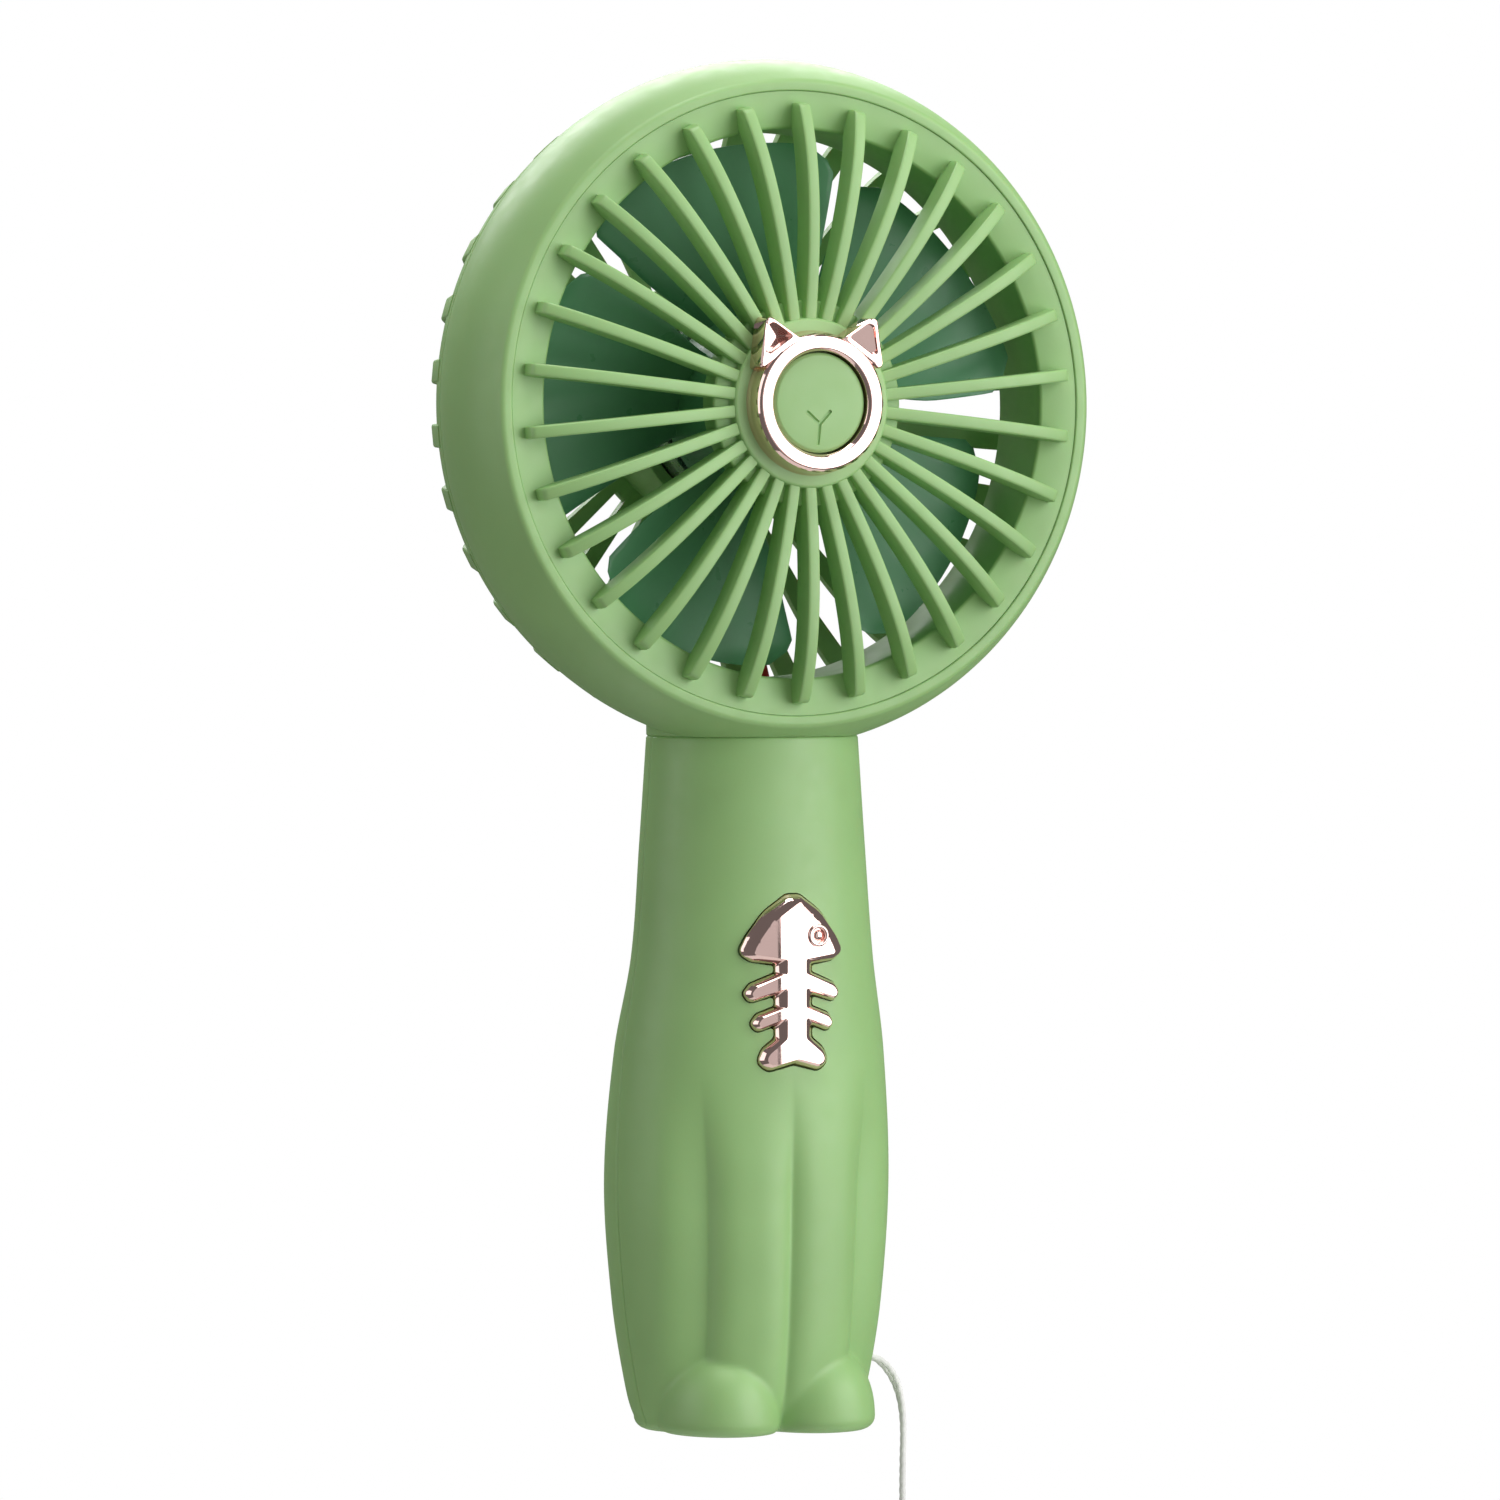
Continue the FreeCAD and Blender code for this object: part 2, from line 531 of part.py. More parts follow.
def make_head_shell():
    """The barrel with its lip and inner ledge, the neck stub and the tenon in the handle."""
    shell = lathe("head_shell", [
        ("lip_radius", "front_y"), ("lip_crown", "front_y"),
        ("shoulder_radius", "front_y + lip_round", "barrel_arc"), ("seam_radius", "seam_y"),
        ("bore_radius", "seam_y"), ("bore_bulge", "bulge_y"), ("bore_radius", "bore_front"),
        ("ledge_outer", "ledge_rear"), ("ledge_radius", "ledge_rear"),
        ("ledge_radius", "ledge_front"), ("lip_radius", "ledge_front")])
    doc.recompute()
    seam = "neck_level - head_level"
    below = rectangle(new_sketch(shell, "XY_Plane", seam), "-beyond", "-beyond", "beyond",
                      "beyond")
    pocket(shell, below)
    stub = ellipse_sketch(shell, seam, "neck_width", "neck_depth", "top_set_back")
    pad(shell, stub, "neck_stub")
    turn(shell, [
        ("0", "ledge_rear"), ("ledge_outer", "ledge_rear"), ("bore_radius", "bore_front"),
        ("bore_bulge", "bulge_y"), ("bore_radius", "seam_y"),
        ("seam_radius + cover_gap", "seam_y"), ("rim_radius + cover_gap", "rim_y"),
        ("brow_radius + cover_gap", "brow_y"), ("crown_radius + cover_gap", "crown_y"),
        ("dome_radius", "dome_y + cover_gap"), ("0", "rear_y + cover_gap")], cut=True)
    tenon = ellipse_sketch(shell, seam, "neck_width - wall - tenon_gap",
                           "neck_depth - wall - front_relief - tenon_gap",
                           "top_set_back + front_relief")
    pad(shell, tenon, "tenon_drop", flip=True)
    doc.recompute()
    passage = ellipse_sketch(shell, "neck_level - head_level + neck_stub",
                             "neck_width - wall - tenon_wall",
                             "neck_depth - wall - front_relief - tenon_wall",
                             "top_set_back + front_relief")
    pocket(shell, passage)
    post = circle(new_sketch(shell, "XZ_Plane", "0 - post_start"), "0",
                  "screw_high - head_level", "post_radius")
    pad(shell, post, "post_long")
    doc.recompute()
    pilot = circle(new_sketch(shell, "XZ_Plane", "0 - post_bore_start"), "0",
                   "screw_high - head_level", "screw_radius")
    pocket(shell, pilot, "post_bore_long", flip=True)
    return shell


def make_front_grille():
    grille = lathe("front_grille", [
        ("throat_radius", "throat_front"), ("grille_radius", "funnel_y"),
        ("grille_radius", "ledge_front"), ("throat_radius + throat_wall", "ledge_front"),
        ("throat_radius + throat_wall", "throat_rear"), ("throat_radius", "throat_rear")])
    rib = outline(new_sketch(grille, "YZ_Plane"), [
        ("rib_end_y", "rib_end_radius", "rib_arch"), ("rib_root_y", "web_radius - rib_bite"),
        ("rib_back_root", "web_radius - rib_bite"), ("rib_back_end", "throat_radius + rib_bite"),
        ("ledge_front - rib_foot", "throat_radius + rib_bite"),
        ("ledge_front - rib_foot", "rib_end_radius")])
    around(grille, pad(grille, rib, "rib_width", midplane=True), RIBS)
    turn(grille, [
        ("0", "hub_front"), ("hub_radius", "hub_front"), ("hub_radius", "web_front"),
        ("web_radius", "web_front"), ("web_radius", "web_back"), ("hub_radius", "web_back"),
        ("hub_radius", "hub_back"), ("0", "hub_back")])
    return grille


def make_hub_ring():
    """The plated ring with two ears, and the green disc inside it."""
    ring = tube_of_rings("cat_ring", "ring_inner", "ring_outer", "ring_front", "hub_front")
    for sign in ("", "-"):
        ear = new_sketch(ring, "XZ_Plane", "0 - hub_front")
        outline(ear, [(sign + "ear_root_x", "ear_root_z - ear_bite"),
                      (sign + "ear_foot_x", "ear_foot_z"), (sign + "ear_tip_x", "ear_tip_z"),
                      (sign + "ear_root_x", "ear_root_z")])
        pad(ring, ear, "0 - ring_front + hub_front")
    turn(ring, [("0", "ring_front - past"), ("ring_inner", "ring_front - past"),
                ("ring_inner", "hub_front + past"), ("0", "hub_front + past")], cut=True)
    lathe("cap_disc", [("0", "disc_front - disc_crown"), ("disc_radius - disc_round", "disc_front"),
                       ("disc_radius", "disc_front + disc_round"), ("disc_radius", "hub_front"),
                       ("0", "hub_front")])
    return ring


def make_rear_cover():
    cover = lathe("rear_cover", [
        ("0", "rear_y"), ("0", "rear_y - cover_wall"),
        ("socket_outer", "rear_y - cover_wall"), ("dome_radius", "dome_y - cover_wall"),
        ("inner_crown_radius", "inner_crown_y"), ("spigot_inner", "inner_brow_y"),
        ("spigot_inner", "spigot_front"), ("spigot_radius", "spigot_front"),
        ("spigot_radius", "seam_y"), ("seam_radius", "seam_y"), ("rim_radius", "rim_y"),
        ("brow_radius", "brow_y"), ("crown_radius", "crown_y"), ("dome_radius", "dome_y"),
        ("socket_outer", "rear_y")])
    doc.recompute()
    slot = new_sketch(cover, "XZ_Plane", "0 - slot_floor")
    outline(slot, [("slot_start", "-slot_root_half"), ("slot_end", "-slot_end_half"),
                   ("slot_end", "slot_end_half"), ("slot_start", "slot_root_half")])
    around(cover, pocket(cover, slot), SLOTS)
    turn(cover, [("socket_inner", "socket_front"), ("socket_outer", "socket_front"),
                 ("socket_outer", "rear_y - cover_wall/2"),
                 ("socket_inner", "rear_y - cover_wall/2")])
    doc.recompute()
    clearance = ellipse_sketch(cover, "neck_cut_level - head_level", "neck_width + cover_gap",
                               "neck_depth + cover_gap", "top_set_back")
    pocket(cover, clearance)
    lead_gap = rectangle(new_sketch(cover, "XY_Plane", "lead_gap_level - head_level"),
                         "-lead_gap_half", "lead_gap_front", "lead_gap_half",
                         "rear_y - cover_wall")
    pocket(cover, lead_gap, "lead_gap_deep")
    screws = new_sketch(cover, "XZ_Plane", "0 - rear_y - past")
    for sign in ("", "-"):
        circle(screws, sign + "motor_screw_x", "0", "motor_screw_radius + pad_gap")
    pocket(cover, screws, "motor_screw_long + past", flip=True)
    return cover


# ---------------------------------------------------------------- impeller and motor

def blade_section(radius, pitch, half_chord, middle_y):
    """A thin cambered blade section that faces along X at a radius."""
    tilt = math.radians(pitch)
    along = Vector(0, math.sin(tilt), math.cos(tilt))
    across = Vector(0, math.cos(tilt), -math.sin(tilt))
    base = Vector(radius, middle_y, 0)
    thick = amount("blade_half_thick")
    camber = BLADE_CAMBER * half_chord
    front = [base + along * half_chord * reach + across * (camber * (1 - reach ** 2) - thick)
             for reach in (-1.0, -0.5, 0.0, 0.5, 1.0)]
    back = [base + along * half_chord * reach + across * (camber * (1 - reach ** 2) + thick)
            for reach in (1.0, 0.5, 0.0, -0.5, -1.0)]
    faces = [Part.BSplineCurve(), Part.BSplineCurve()]
    faces[0].interpolate(front)
    faces[1].interpolate(back)
    edges = [faces[0].toShape(), Part.LineSegment(front[-1], back[0]).toShape(),
             faces[1].toShape(), Part.LineSegment(back[-1], front[0]).toShape()]
    return Part.Wire(edges)


def make_impeller():
    """A hub cup pressed on the shaft, with broad twisted blades."""
    tip = amount("impeller_tip")
    hub = amount("impeller_hub")
    middle_y = amount("blade_front + blade_rear") / 2.0
    half_span = amount("blade_rear - blade_front") / 2.0 - amount("blade_margin")
    wires = []
    for part in (0.0, 0.5, 1.0):
        radius = hub - 1.0 + part * (tip + 1.5 - hub)
        pitch = BLADE_PITCH["root"] + part * (BLADE_PITCH["tip"] - BLADE_PITCH["root"])
        half_chord = half_span / math.sin(math.radians(pitch)) * (0.92 + 0.04 * part)
        wires.append(blade_section(radius, pitch, half_chord, middle_y))
    blade = Part.makeLoft(wires, True, False)
    far = amount("beyond")
    blank = Part.makeCylinder(tip, 2 * far, Vector(0, -far, 0), REARWARD)
    core = Part.makeCylinder(hub - amount("impeller_skin") / 3.0, 2 * far, Vector(0, -far, 0),
                             REARWARD)
    blade = blade.common(blank).cut(core)
    profile = [(amount("shaft_radius"), amount("impeller_front")),
               (hub, amount("impeller_front")),
               (hub, amount("impeller_rear")),
               (hub - amount("impeller_skin"), amount("impeller_rear")),
               (hub - amount("impeller_skin"), amount("impeller_front + impeller_skin")),
               (amount("impeller_boss"), amount("impeller_front + impeller_skin")),
               (amount("impeller_boss"), amount("impeller_front + boss_long")),
               (amount("shaft_radius"), amount("impeller_front + boss_long"))]
    ring = [Vector(radius, y, 0) for radius, y in profile]
    cup = Part.Face(Part.makePolygon(ring + [ring[0]])).revolve(Vector(0, 0, 0), REARWARD)
    blades = []
    for index in range(BLADES):
        copy = blade.copy()
        copy.rotate(Vector(0, 0, 0), REARWARD, 360.0 * (index + BLADE_PHASE) / BLADES)
        blades.append(copy)
    wheel = solid("impeller", cup.multiFuse(blades).removeSplitter())
    wheel.Placement.Base = Vector(0, 0, amount("head_level"))
    return wheel


def on_head_axis(name, shapes):
    """One node of loose solids, made about the origin and raised to the head's axis."""
    group = solid(name, Part.makeCompound(shapes) if len(shapes) > 1 else shapes[0])
    group.Placement.Base = Vector(0, 0, amount("head_level"))
    return group


def make_motor():
    """A three-pole brushed motor: shaft, can with bushes and magnets, end cap and armature."""
    lathe("motor_shaft", [("0", "shaft_front"), ("shaft_radius", "shaft_front"),
                          ("shaft_radius", "shaft_rear"), ("0", "shaft_rear")])
    lathe("motor_can", [("bush_radius", "can_front"), ("can_radius - 0.6", "can_front"),
                        ("can_radius", "can_front + 0.6"), ("can_radius", "can_rear"),
                        ("can_radius - can_wall", "can_rear"),
                        ("can_radius - can_wall", "can_front + can_wall"),
                        ("bush_radius", "can_front + can_wall")])
    tube_of_rings("front_bush", "shaft_radius + running_gap", "bush_radius", "can_front - 0.6",
                  "can_front + 1.6")
    tube_of_rings("rear_bush", "shaft_radius + running_gap", "bush_radius - 0.2",
                  "can_rear - 0.3", "cap_rear")
    make_end_cap()
    magnets = tube_of_rings("magnet_ring", "magnet_inner", "can_radius - can_wall",
                            "magnet_front", "magnet_rear")
    gap = block("magnet_gap", ("-beyond", "0", "head_level - magnet_half_gap"),
                ("beyond", "beyond", "head_level + magnet_half_gap"))
    cut("motor_magnets", magnets, gap)
    make_armature()
    make_brushes()
    make_motor_screws()


def make_end_cap():
    end_cap = lathe("motor_end_cap", [
        ("bush_radius - 0.2", "can_rear - 0.3"), ("can_radius - can_wall", "can_rear - 0.3"),
        ("can_radius - can_wall", "can_rear"), ("can_radius - 0.3", "can_rear"),
        ("can_radius - 0.3", "cap_rear"), ("bush_radius - 0.2", "cap_rear")])
    doc.recompute()
    pilots = new_sketch(end_cap, "XZ_Plane", "0 - cap_rear - past")
    for sign in ("", "-"):
        circle(pilots, sign + "motor_screw_x", "0", "motor_screw_radius")
    pocket(end_cap, pilots, "motor_screw_long", flip=True)


def make_armature():
    """The slotted core, a coil on each side of every pole, and the commutator."""
    core = new_body("armature_core", "head_level")
    turn(core, [("shaft_radius", "core_front"), ("core_radius", "core_front"),
                ("core_radius", "core_rear"), ("shaft_radius", "core_rear")])
    doc.recompute()
    slot = new_sketch(core, "XZ_Plane", "0 - core_rear - past")
    outline(slot, [("pole_root", "0"), ("pole_neck", "-pole_spread"),
                   ("pole_shoe", "-pole_half_gap"), ("core_radius + past", "-pole_half_gap"),
                   ("core_radius + past", "pole_half_gap"), ("pole_shoe", "pole_half_gap"),
                   ("pole_neck", "pole_spread")])
    around(core, pocket(core, slot, "can_rear", flip=True), POLES)
    windings = []
    thick = amount("coil_thick")
    for index in range(POLES):
        for start in (amount("coil_offset"), -amount("coil_offset") - thick):
            coil = Part.makeBox(amount("coil_long"), amount("coil_high"), thick,
                                Vector(amount("coil_start"), amount("core_front") + 0.6, start))
            coil.rotate(Vector(0, 0, 0), REARWARD, 360.0 * (index + 0.5) / POLES)
            windings.append(coil)
    on_head_axis("armature_windings", windings)
    tube_of_rings("commutator", "shaft_radius", "commutator_radius", "core_rear + 0.4",
                  "can_rear - 0.7")


def make_brushes():
    """Two leaf brushes beside the commutator, and the two tabs that the leads are soldered to."""
    start = amount("brush_start")
    long = amount("brush_long")
    thick = amount("brush_thick")
    front = amount("core_rear") + 1.0
    foot_long = amount("brush_foot_long")
    leaf = Part.makeBox(long, amount("brush_wide"), thick, Vector(start, front, -thick / 2.0))
    foot = Part.makeBox(foot_long, amount("brush_foot_wide"), thick,
                        Vector(start + long - foot_long, front, -thick / 2.0))
    brush = leaf.fuse(foot)
    on_head_axis("motor_brushes", [brush, brush.mirror(Vector(0, 0, 0), Vector(1, 0, 0))])
    tab = Part.makeBox(amount("terminal_wide"), amount("terminal_thick"), amount("terminal_long"),
                       Vector(amount("terminal_x"), amount("cap_rear") - 0.8,
                              amount("terminal_level")))
    on_head_axis("motor_terminals", [tab, tab.mirror(Vector(0, 0, 0), Vector(1, 0, 0))])


def make_motor_screws():
    """Two screws through the rear cover into the motor's end cap."""
    screws = []
    long = amount("motor_screw_long")
    rear = amount("rear_y")
    for x in (-amount("motor_screw_x"), amount("motor_screw_x")):
        shank = Part.makeCylinder(amount("motor_screw_radius"), long, Vector(x, rear - long, 0),
                                  REARWARD)
        head = Part.makeCylinder(amount("motor_head_radius"), amount("motor_head_thick"),
                                 Vector(x, rear, 0), REARWARD)
        screws.append(shank.fuse(head).removeSplitter())
    on_head_axis("motor_screws", screws)


# ---------------------------------------------------------------- button, switch and board

def make_button():
    """The plated fish with the stem that reaches the switch, and the switch behind it."""
    plate = fish_face(0).extrude(Vector(0, amount("fish_back - fish_front"), 0))
    plate.translate(Vector(0, amount("fish_front"), 0))
    root = amount("fish_back") - amount("past") / 2.0
    stem = Part.makeCylinder(amount("stem_radius"), amount("stem_end") - root,
                             Vector(0, root, amount("stem_level")), REARWARD)
    solid("fish_button", plate.fuse(stem).removeSplitter())
    rod_along_y("switch_plunger", "0", "stem_level", "plunger_front", "plunger_rear",
                "plunger_radius")
    case = block("switch_block", ("-switch_half", "switch_front", "stem_level - switch_half"),
                 ("switch_half", "board_front", "stem_level + switch_half"))
    cut("switch_case", case, rod_along_y("switch_bore", "0", "stem_level", "switch_front - past",
                                         "board_front + past", "plunger_radius + plunger_gap"))


def make_electronics():
    """The board with its parts, the charging socket, and the cell on its foam pad."""
    block("circuit_board", ("-board_half", "board_front", "board_low"),
          ("board_half", "board_rear", "board_top"))
    block("control_chip", ("-chip_half", "board_front - chip_thick", "chip_low"),
          ("chip_half", "board_front", "chip_high"))
    block("charge_coil", ("-choke_half", "board_front - choke_thick", "choke_low"),
          ("choke_half", "board_front", "choke_high"))
    thick = amount("capacitor_thick")
    front = amount("board_front") - thick
    solid("board_capacitors", Part.makeCompound([
        Part.makeBox(amount("capacitor_long"), thick, thick, Vector(x, front, z))
        for x, z in CAPACITORS]))
    shell = block("usb_block", ("-usb_half", "board_rear", "usb_low"),
                  ("usb_half", "board_rear + usb_thick", "usb_high"))
    mouth = block("usb_mouth", ("-usb_half + usb_wall", "board_rear + usb_wall", "usb_low - past"),
                  ("usb_half - usb_wall", "board_rear + usb_thick - usb_wall",
                   "usb_high - usb_back"))
    cut("usb_socket", shell, mouth)
    block("usb_tongue", ("-usb_half + tongue_inset", "board_rear + usb_thick/2 - tongue_half",
                         "usb_low + tongue_inset"),
          ("usb_half - tongue_inset", "board_rear + usb_thick/2 + tongue_half",
           "usb_high - usb_back"))
    primitive("Cylinder", "battery_cell", x="0", y="cell_y", z="cell_low", Radius="cell_radius",
              Height="cell_long")
    block("battery_pad", ("-pad_half", "cell_y + cell_radius + pad_gap", "pad_low"),
          ("pad_half", "pad_rear", "pad_high"))


def make_leads():
    """Leads that stay inside the shells: motor to board, and cell to board."""
    for colour, side in (("red", 1.0), ("black", -1.0)):
        cord("motor_lead_" + colour, [
            (4.0 * side, 13.65, 69.9), (4.0 * side, 13.65, 65.5), (4.3 * side, 9.4, 58.0),
            (4.8 * side, 5.6, 50.0), (5.2 * side, 3.2, 42.0), (5.0 * side, 1.2, 34.0),
            (4.2 * side, -1.8, 27.5), (3.6 * side, -3.9, 20.0)], 1.1)
        cord("battery_lead_" + colour, [
            (3.4 * side, 2.8, 9.0), (3.3 * side, 2.6, 12.2), (3.0 * side, 0.2, 15.0),
            (2.4 * side, -2.9, 14.4), (2.2 * side, -4.0, 11.4)], 0.9)


# ---------------------------------------------------------------- fasteners and strap

def make_screws():
    """Two low screws and one in the neck, driven from the rear."""
    screws = []
    for x, seat, level, long in (("-screw_x", "low_seat", "screw_low", "low_screw_long"),
                                 ("screw_x", "low_seat", "screw_low", "low_screw_long"),
                                 ("0", "high_seat", "screw_high", "high_screw_long")):
        base = Vector(amount(x), amount(seat), amount(level))
        shank = Part.makeCylinder(amount("screw_radius"), amount(long),
                                  base - REARWARD * amount(long), REARWARD)
        head = Part.makeCylinder(amount("screw_head"), amount("screw_head_thick"), base, REARWARD)
        screws.append(shank.fuse(head).removeSplitter())
    solid("handle_screws", Part.makeCompound(screws))


def make_strap():
    """Two thin strands from the strap pin, the crimp, and the wrist loop that hangs from it."""
    rod_along_y("strap_pin", "strap_pin_x", "strap_hole_level", "strap_pin_front",
                "strap_pin_rear", "strap_pin_radius")
    near = amount("strap_hole_y")
    far = near + amount("strap_pitch")
    for name, exit_y, hang_x, hang_y in (("strap_strand_near", near, 22.5, 2.9),
                                         ("strap_strand_far", far, 22.9, 3.8)):
        cord(name, [
            (13.6, exit_y, -34.8), (18.4, exit_y, -34.8), (21.6, (exit_y + hang_y) / 2, -37.6),
            (hang_x + 0.3, hang_y, -42.6), (hang_x, hang_y, -51.0), (hang_x + 0.1, hang_y, -60.0)],
            amount("strand_thick"))
    middle = Vector(amount("crimp_x"), amount("crimp_y"), amount("crimp_top - crimp_long"))
    crimp = Part.makeCylinder(amount("crimp_radius"), amount("crimp_long"), middle, UP)
    solid("strap_crimp", crimp.makeFillet(amount("crimp_round"), crimp.Edges))
    right = [(1.25, -67.0), (1.25, -73.0), (6.2, -82.0), (13.8, -94.0), (21.6, -108.2),
             (24.4, -123.8), (17.8, -138.6), (6.3, -146.4)]
    left = [(-x, z - 0.6) for x, z in reversed(right[2:])] + [(-1.25, -73.0), (-1.25, -67.0)]
    route = [(middle.x + x, middle.y - max(0.0, -73.0 - z) * 0.02, z) for x, z in right + left]
    cord("wrist_cord", route, amount("wrist_thick"))


# ---------------------------------------------------------------- build, check and write

make_handle()
make_head_shell()
make_front_grille()
make_hub_ring()
make_rear_cover()
make_impeller()
make_motor()
make_button()
make_electronics()
make_leads()
make_screws()
make_strap()
doc.recompute()

NODES = ["handle_front", "handle_rear", "head_shell", "front_grille", "cat_ring", "cap_disc",
         "rear_cover", "impeller", "motor_shaft", "motor_can", "front_bush", "rear_bush",
         "motor_end_cap", "motor_magnets", "armature_core", "armature_windings", "commutator",
         "motor_brushes", "motor_terminals", "motor_screws", "fish_button", "switch_plunger",
         "switch_case", "circuit_board", "control_chip", "charge_coil", "board_capacitors",
         "usb_socket", "usb_tongue", "battery_cell", "battery_pad", "motor_lead_red",
         "motor_lead_black", "battery_lead_red", "battery_lead_black", "handle_screws",
         "strap_pin", "strap_strand_near", "strap_strand_far", "strap_crimp", "wrist_cord"]

for item in doc.Objects:
    if "Invalid" in item.State or "Error" in item.State:
        raise RuntimeError("%s failed: %s" % (item.Label, item.State))

os.makedirs("parts", exist_ok=True)
for node in NODES:
    shape = doc.getObjectsByLabel(node)[0].Shape
    if shape.isNull() or not shape.isValid():
        raise RuntimeError(node + " has no valid shape")
    box = shape.BoundBox
    print("%-20s solids %d  volume %9.1f  x %6.1f %6.1f  y %6.1f %6.1f  z %6.1f %6.1f" % (
        node, len(shape.Solids), shape.Volume, box.XMin, box.XMax, box.YMin, box.YMax,
        box.ZMin, box.ZMax))
    shape.exportStep("parts/%s.step" % node)
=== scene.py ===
"""Looks of the handheld fan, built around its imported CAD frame.

Blender works in metres. The sizes below are millimetres in the frame's own axes: +Z runs up the
handle to the head, and the fan blows towards -Y. mesh_piece() scales them.
"""
import json
from math import asin, atan2, copysign, cos, pi, radians, sin, sqrt, tan

import bmesh
import bpy
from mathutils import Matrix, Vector
from mathutils.geometry import tessellate_polygon


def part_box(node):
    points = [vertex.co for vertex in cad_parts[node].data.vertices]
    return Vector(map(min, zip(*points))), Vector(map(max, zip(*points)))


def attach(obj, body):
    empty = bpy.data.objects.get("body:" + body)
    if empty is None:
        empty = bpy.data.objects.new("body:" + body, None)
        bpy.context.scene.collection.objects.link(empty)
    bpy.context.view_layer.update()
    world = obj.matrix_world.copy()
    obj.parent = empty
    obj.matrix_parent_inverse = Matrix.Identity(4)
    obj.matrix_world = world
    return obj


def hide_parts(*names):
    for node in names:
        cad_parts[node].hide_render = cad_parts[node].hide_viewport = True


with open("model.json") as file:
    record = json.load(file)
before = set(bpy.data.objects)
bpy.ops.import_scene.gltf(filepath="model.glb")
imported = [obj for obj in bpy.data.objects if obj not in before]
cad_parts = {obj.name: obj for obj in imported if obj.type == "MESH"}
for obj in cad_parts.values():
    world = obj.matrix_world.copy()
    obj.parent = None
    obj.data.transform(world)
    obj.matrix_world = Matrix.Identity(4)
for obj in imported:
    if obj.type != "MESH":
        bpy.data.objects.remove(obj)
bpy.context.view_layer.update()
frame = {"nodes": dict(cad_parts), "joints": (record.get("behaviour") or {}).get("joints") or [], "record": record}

MM = 0.001
TURN = 2.0 * pi
# The head's axis, the handle's underside, the joint of handle and head, and the floor's level.
SPIN = [joint for joint in frame["joints"] if joint["name"] == "rotor_spin"][0]
HEAD = SPIN["pos_m"][2] / MM
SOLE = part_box("handle_front")[0].z / MM
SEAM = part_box("handle_front")[1].z / MM
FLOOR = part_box("wrist_cord")[0].z / MM - 4.0


# ---- outlines

def rounded(corners, steps=4):
    """A closed outline through (u, v) or (u, v, radius) corners, with arcs where a radius is given."""
    points = []
    total = len(corners)
    for index, corner in enumerate(corners):
        here = Vector(corner[:2])
        radius = corner[2] if len(corner) > 2 else 0.0
        before = here - Vector(corners[index - 1][:2])
        after = Vector(corners[(index + 1) % total][:2]) - here
        angle = before.angle_signed(after, 0.0) if before.length and after.length else 0.0
        if radius <= 0.0 or abs(angle) < 0.02:
            points.append(here)
            continue
        tangent = tan(abs(angle) / 2.0)
        setback = min(radius * tangent, 0.49 * min(before.length, after.length))
        way = before.normalized()
        side = -1.0 if angle > 0.0 else 1.0
        centre = here - way * setback + Vector((-way.y, way.x)) * side * setback / tangent
        spoke = here - way * setback - centre
        for step in range(steps + 1):
            swing = -angle * step / steps
            points.append(centre + Vector((spoke.x * cos(swing) - spoke.y * sin(swing),
                                           spoke.x * sin(swing) + spoke.y * cos(swing))))
    return [tuple(point) for point in points]


def arc(start, end, radius, steps=12):
    """Points of the short arc from start to end that bulges to the right of the way."""
    begin, finish = Vector(start), Vector(end)
    chord = finish - begin
    rise = sqrt(radius ** 2 - chord.length ** 2 / 4.0)
    centre = (begin + finish) / 2.0 + Vector((-chord.y, chord.x)).normalized() * rise
    first = atan2(begin.y - centre.y, begin.x - centre.x)
    sweep = 2.0 * asin(chord.length / (2.0 * radius))
    return [(centre.x + radius * cos(first + sweep * step / steps),
             centre.y + radius * sin(first + sweep * step / steps))
            for step in range(steps + 1)]


def inset(corners, distances):
    """Move each edge of an outline inwards by its own distance; corner radii stay."""
    total = len(corners)
    area = sum(corners[i - 1][0] * corners[i][1] - corners[i][0] * corners[i - 1][1]
               for i in range(total))
    side = 1.0 if area > 0.0 else -1.0
    lines = []
    for index in range(total):
        start = Vector(corners[index][:2])
        way = (Vector(corners[(index + 1) % total][:2]) - start).normalized()
        normal = Vector((-way.y, way.x)) * side
        lines.append((start + normal * distances[index], way))
    moved = []
    for index in range(total):
        base, way = lines[index - 1]
        other, along = lines[index]
        cross = way.x * along.y - way.y * along.x
        spot, gap = other, other - base
        if abs(cross) > 0.01:
            spot = base + way * ((gap.x * along.y - gap.y * along.x) / cross)
        moved.append((spot.x, spot.y) + tuple(corners[index][2:]))
    return moved


# ---- meshes

# Points closer than this, in metres, are one point.
MERGE = 2e-6
# By a piece's name, the angle in degrees over which its edges are sharp.
SHARP = {}


def merge(*parts):
    """One (points, faces) pair from several."""
    points, faces = [], []
    for some_points, some_faces in parts:
        base = len(points)
        points += some_points
        faces += [[base + corner for corner in face] for face in some_faces]
    return points, faces


def turned(profile, steps=180, centre=(0.0, 0.0, HEAD), upright=False):
    """A closed (radius, along) outline turned about a line through centre, along Y or upright."""
    points = []
    for step in range(steps):
        cosine, sine = cos(TURN * step / steps), sin(TURN * step / steps)
        for radius, along in profile:
            spot = (radius * sine, along) if upright else (along, radius * sine)
            points.append((centre[0] + radius * cosine, centre[1] + spot[0], centre[2] + spot[1]))
    count = len(profile)
    faces = [(step * count + spot, step * count + (spot + 1) % count,
              (step + 1) % steps * count + (spot + 1) % count, (step + 1) % steps * count + spot)
             for step in range(steps) for spot in range(count)
             if profile[spot][0] or profile[(spot + 1) % count][0]]
    return points, faces


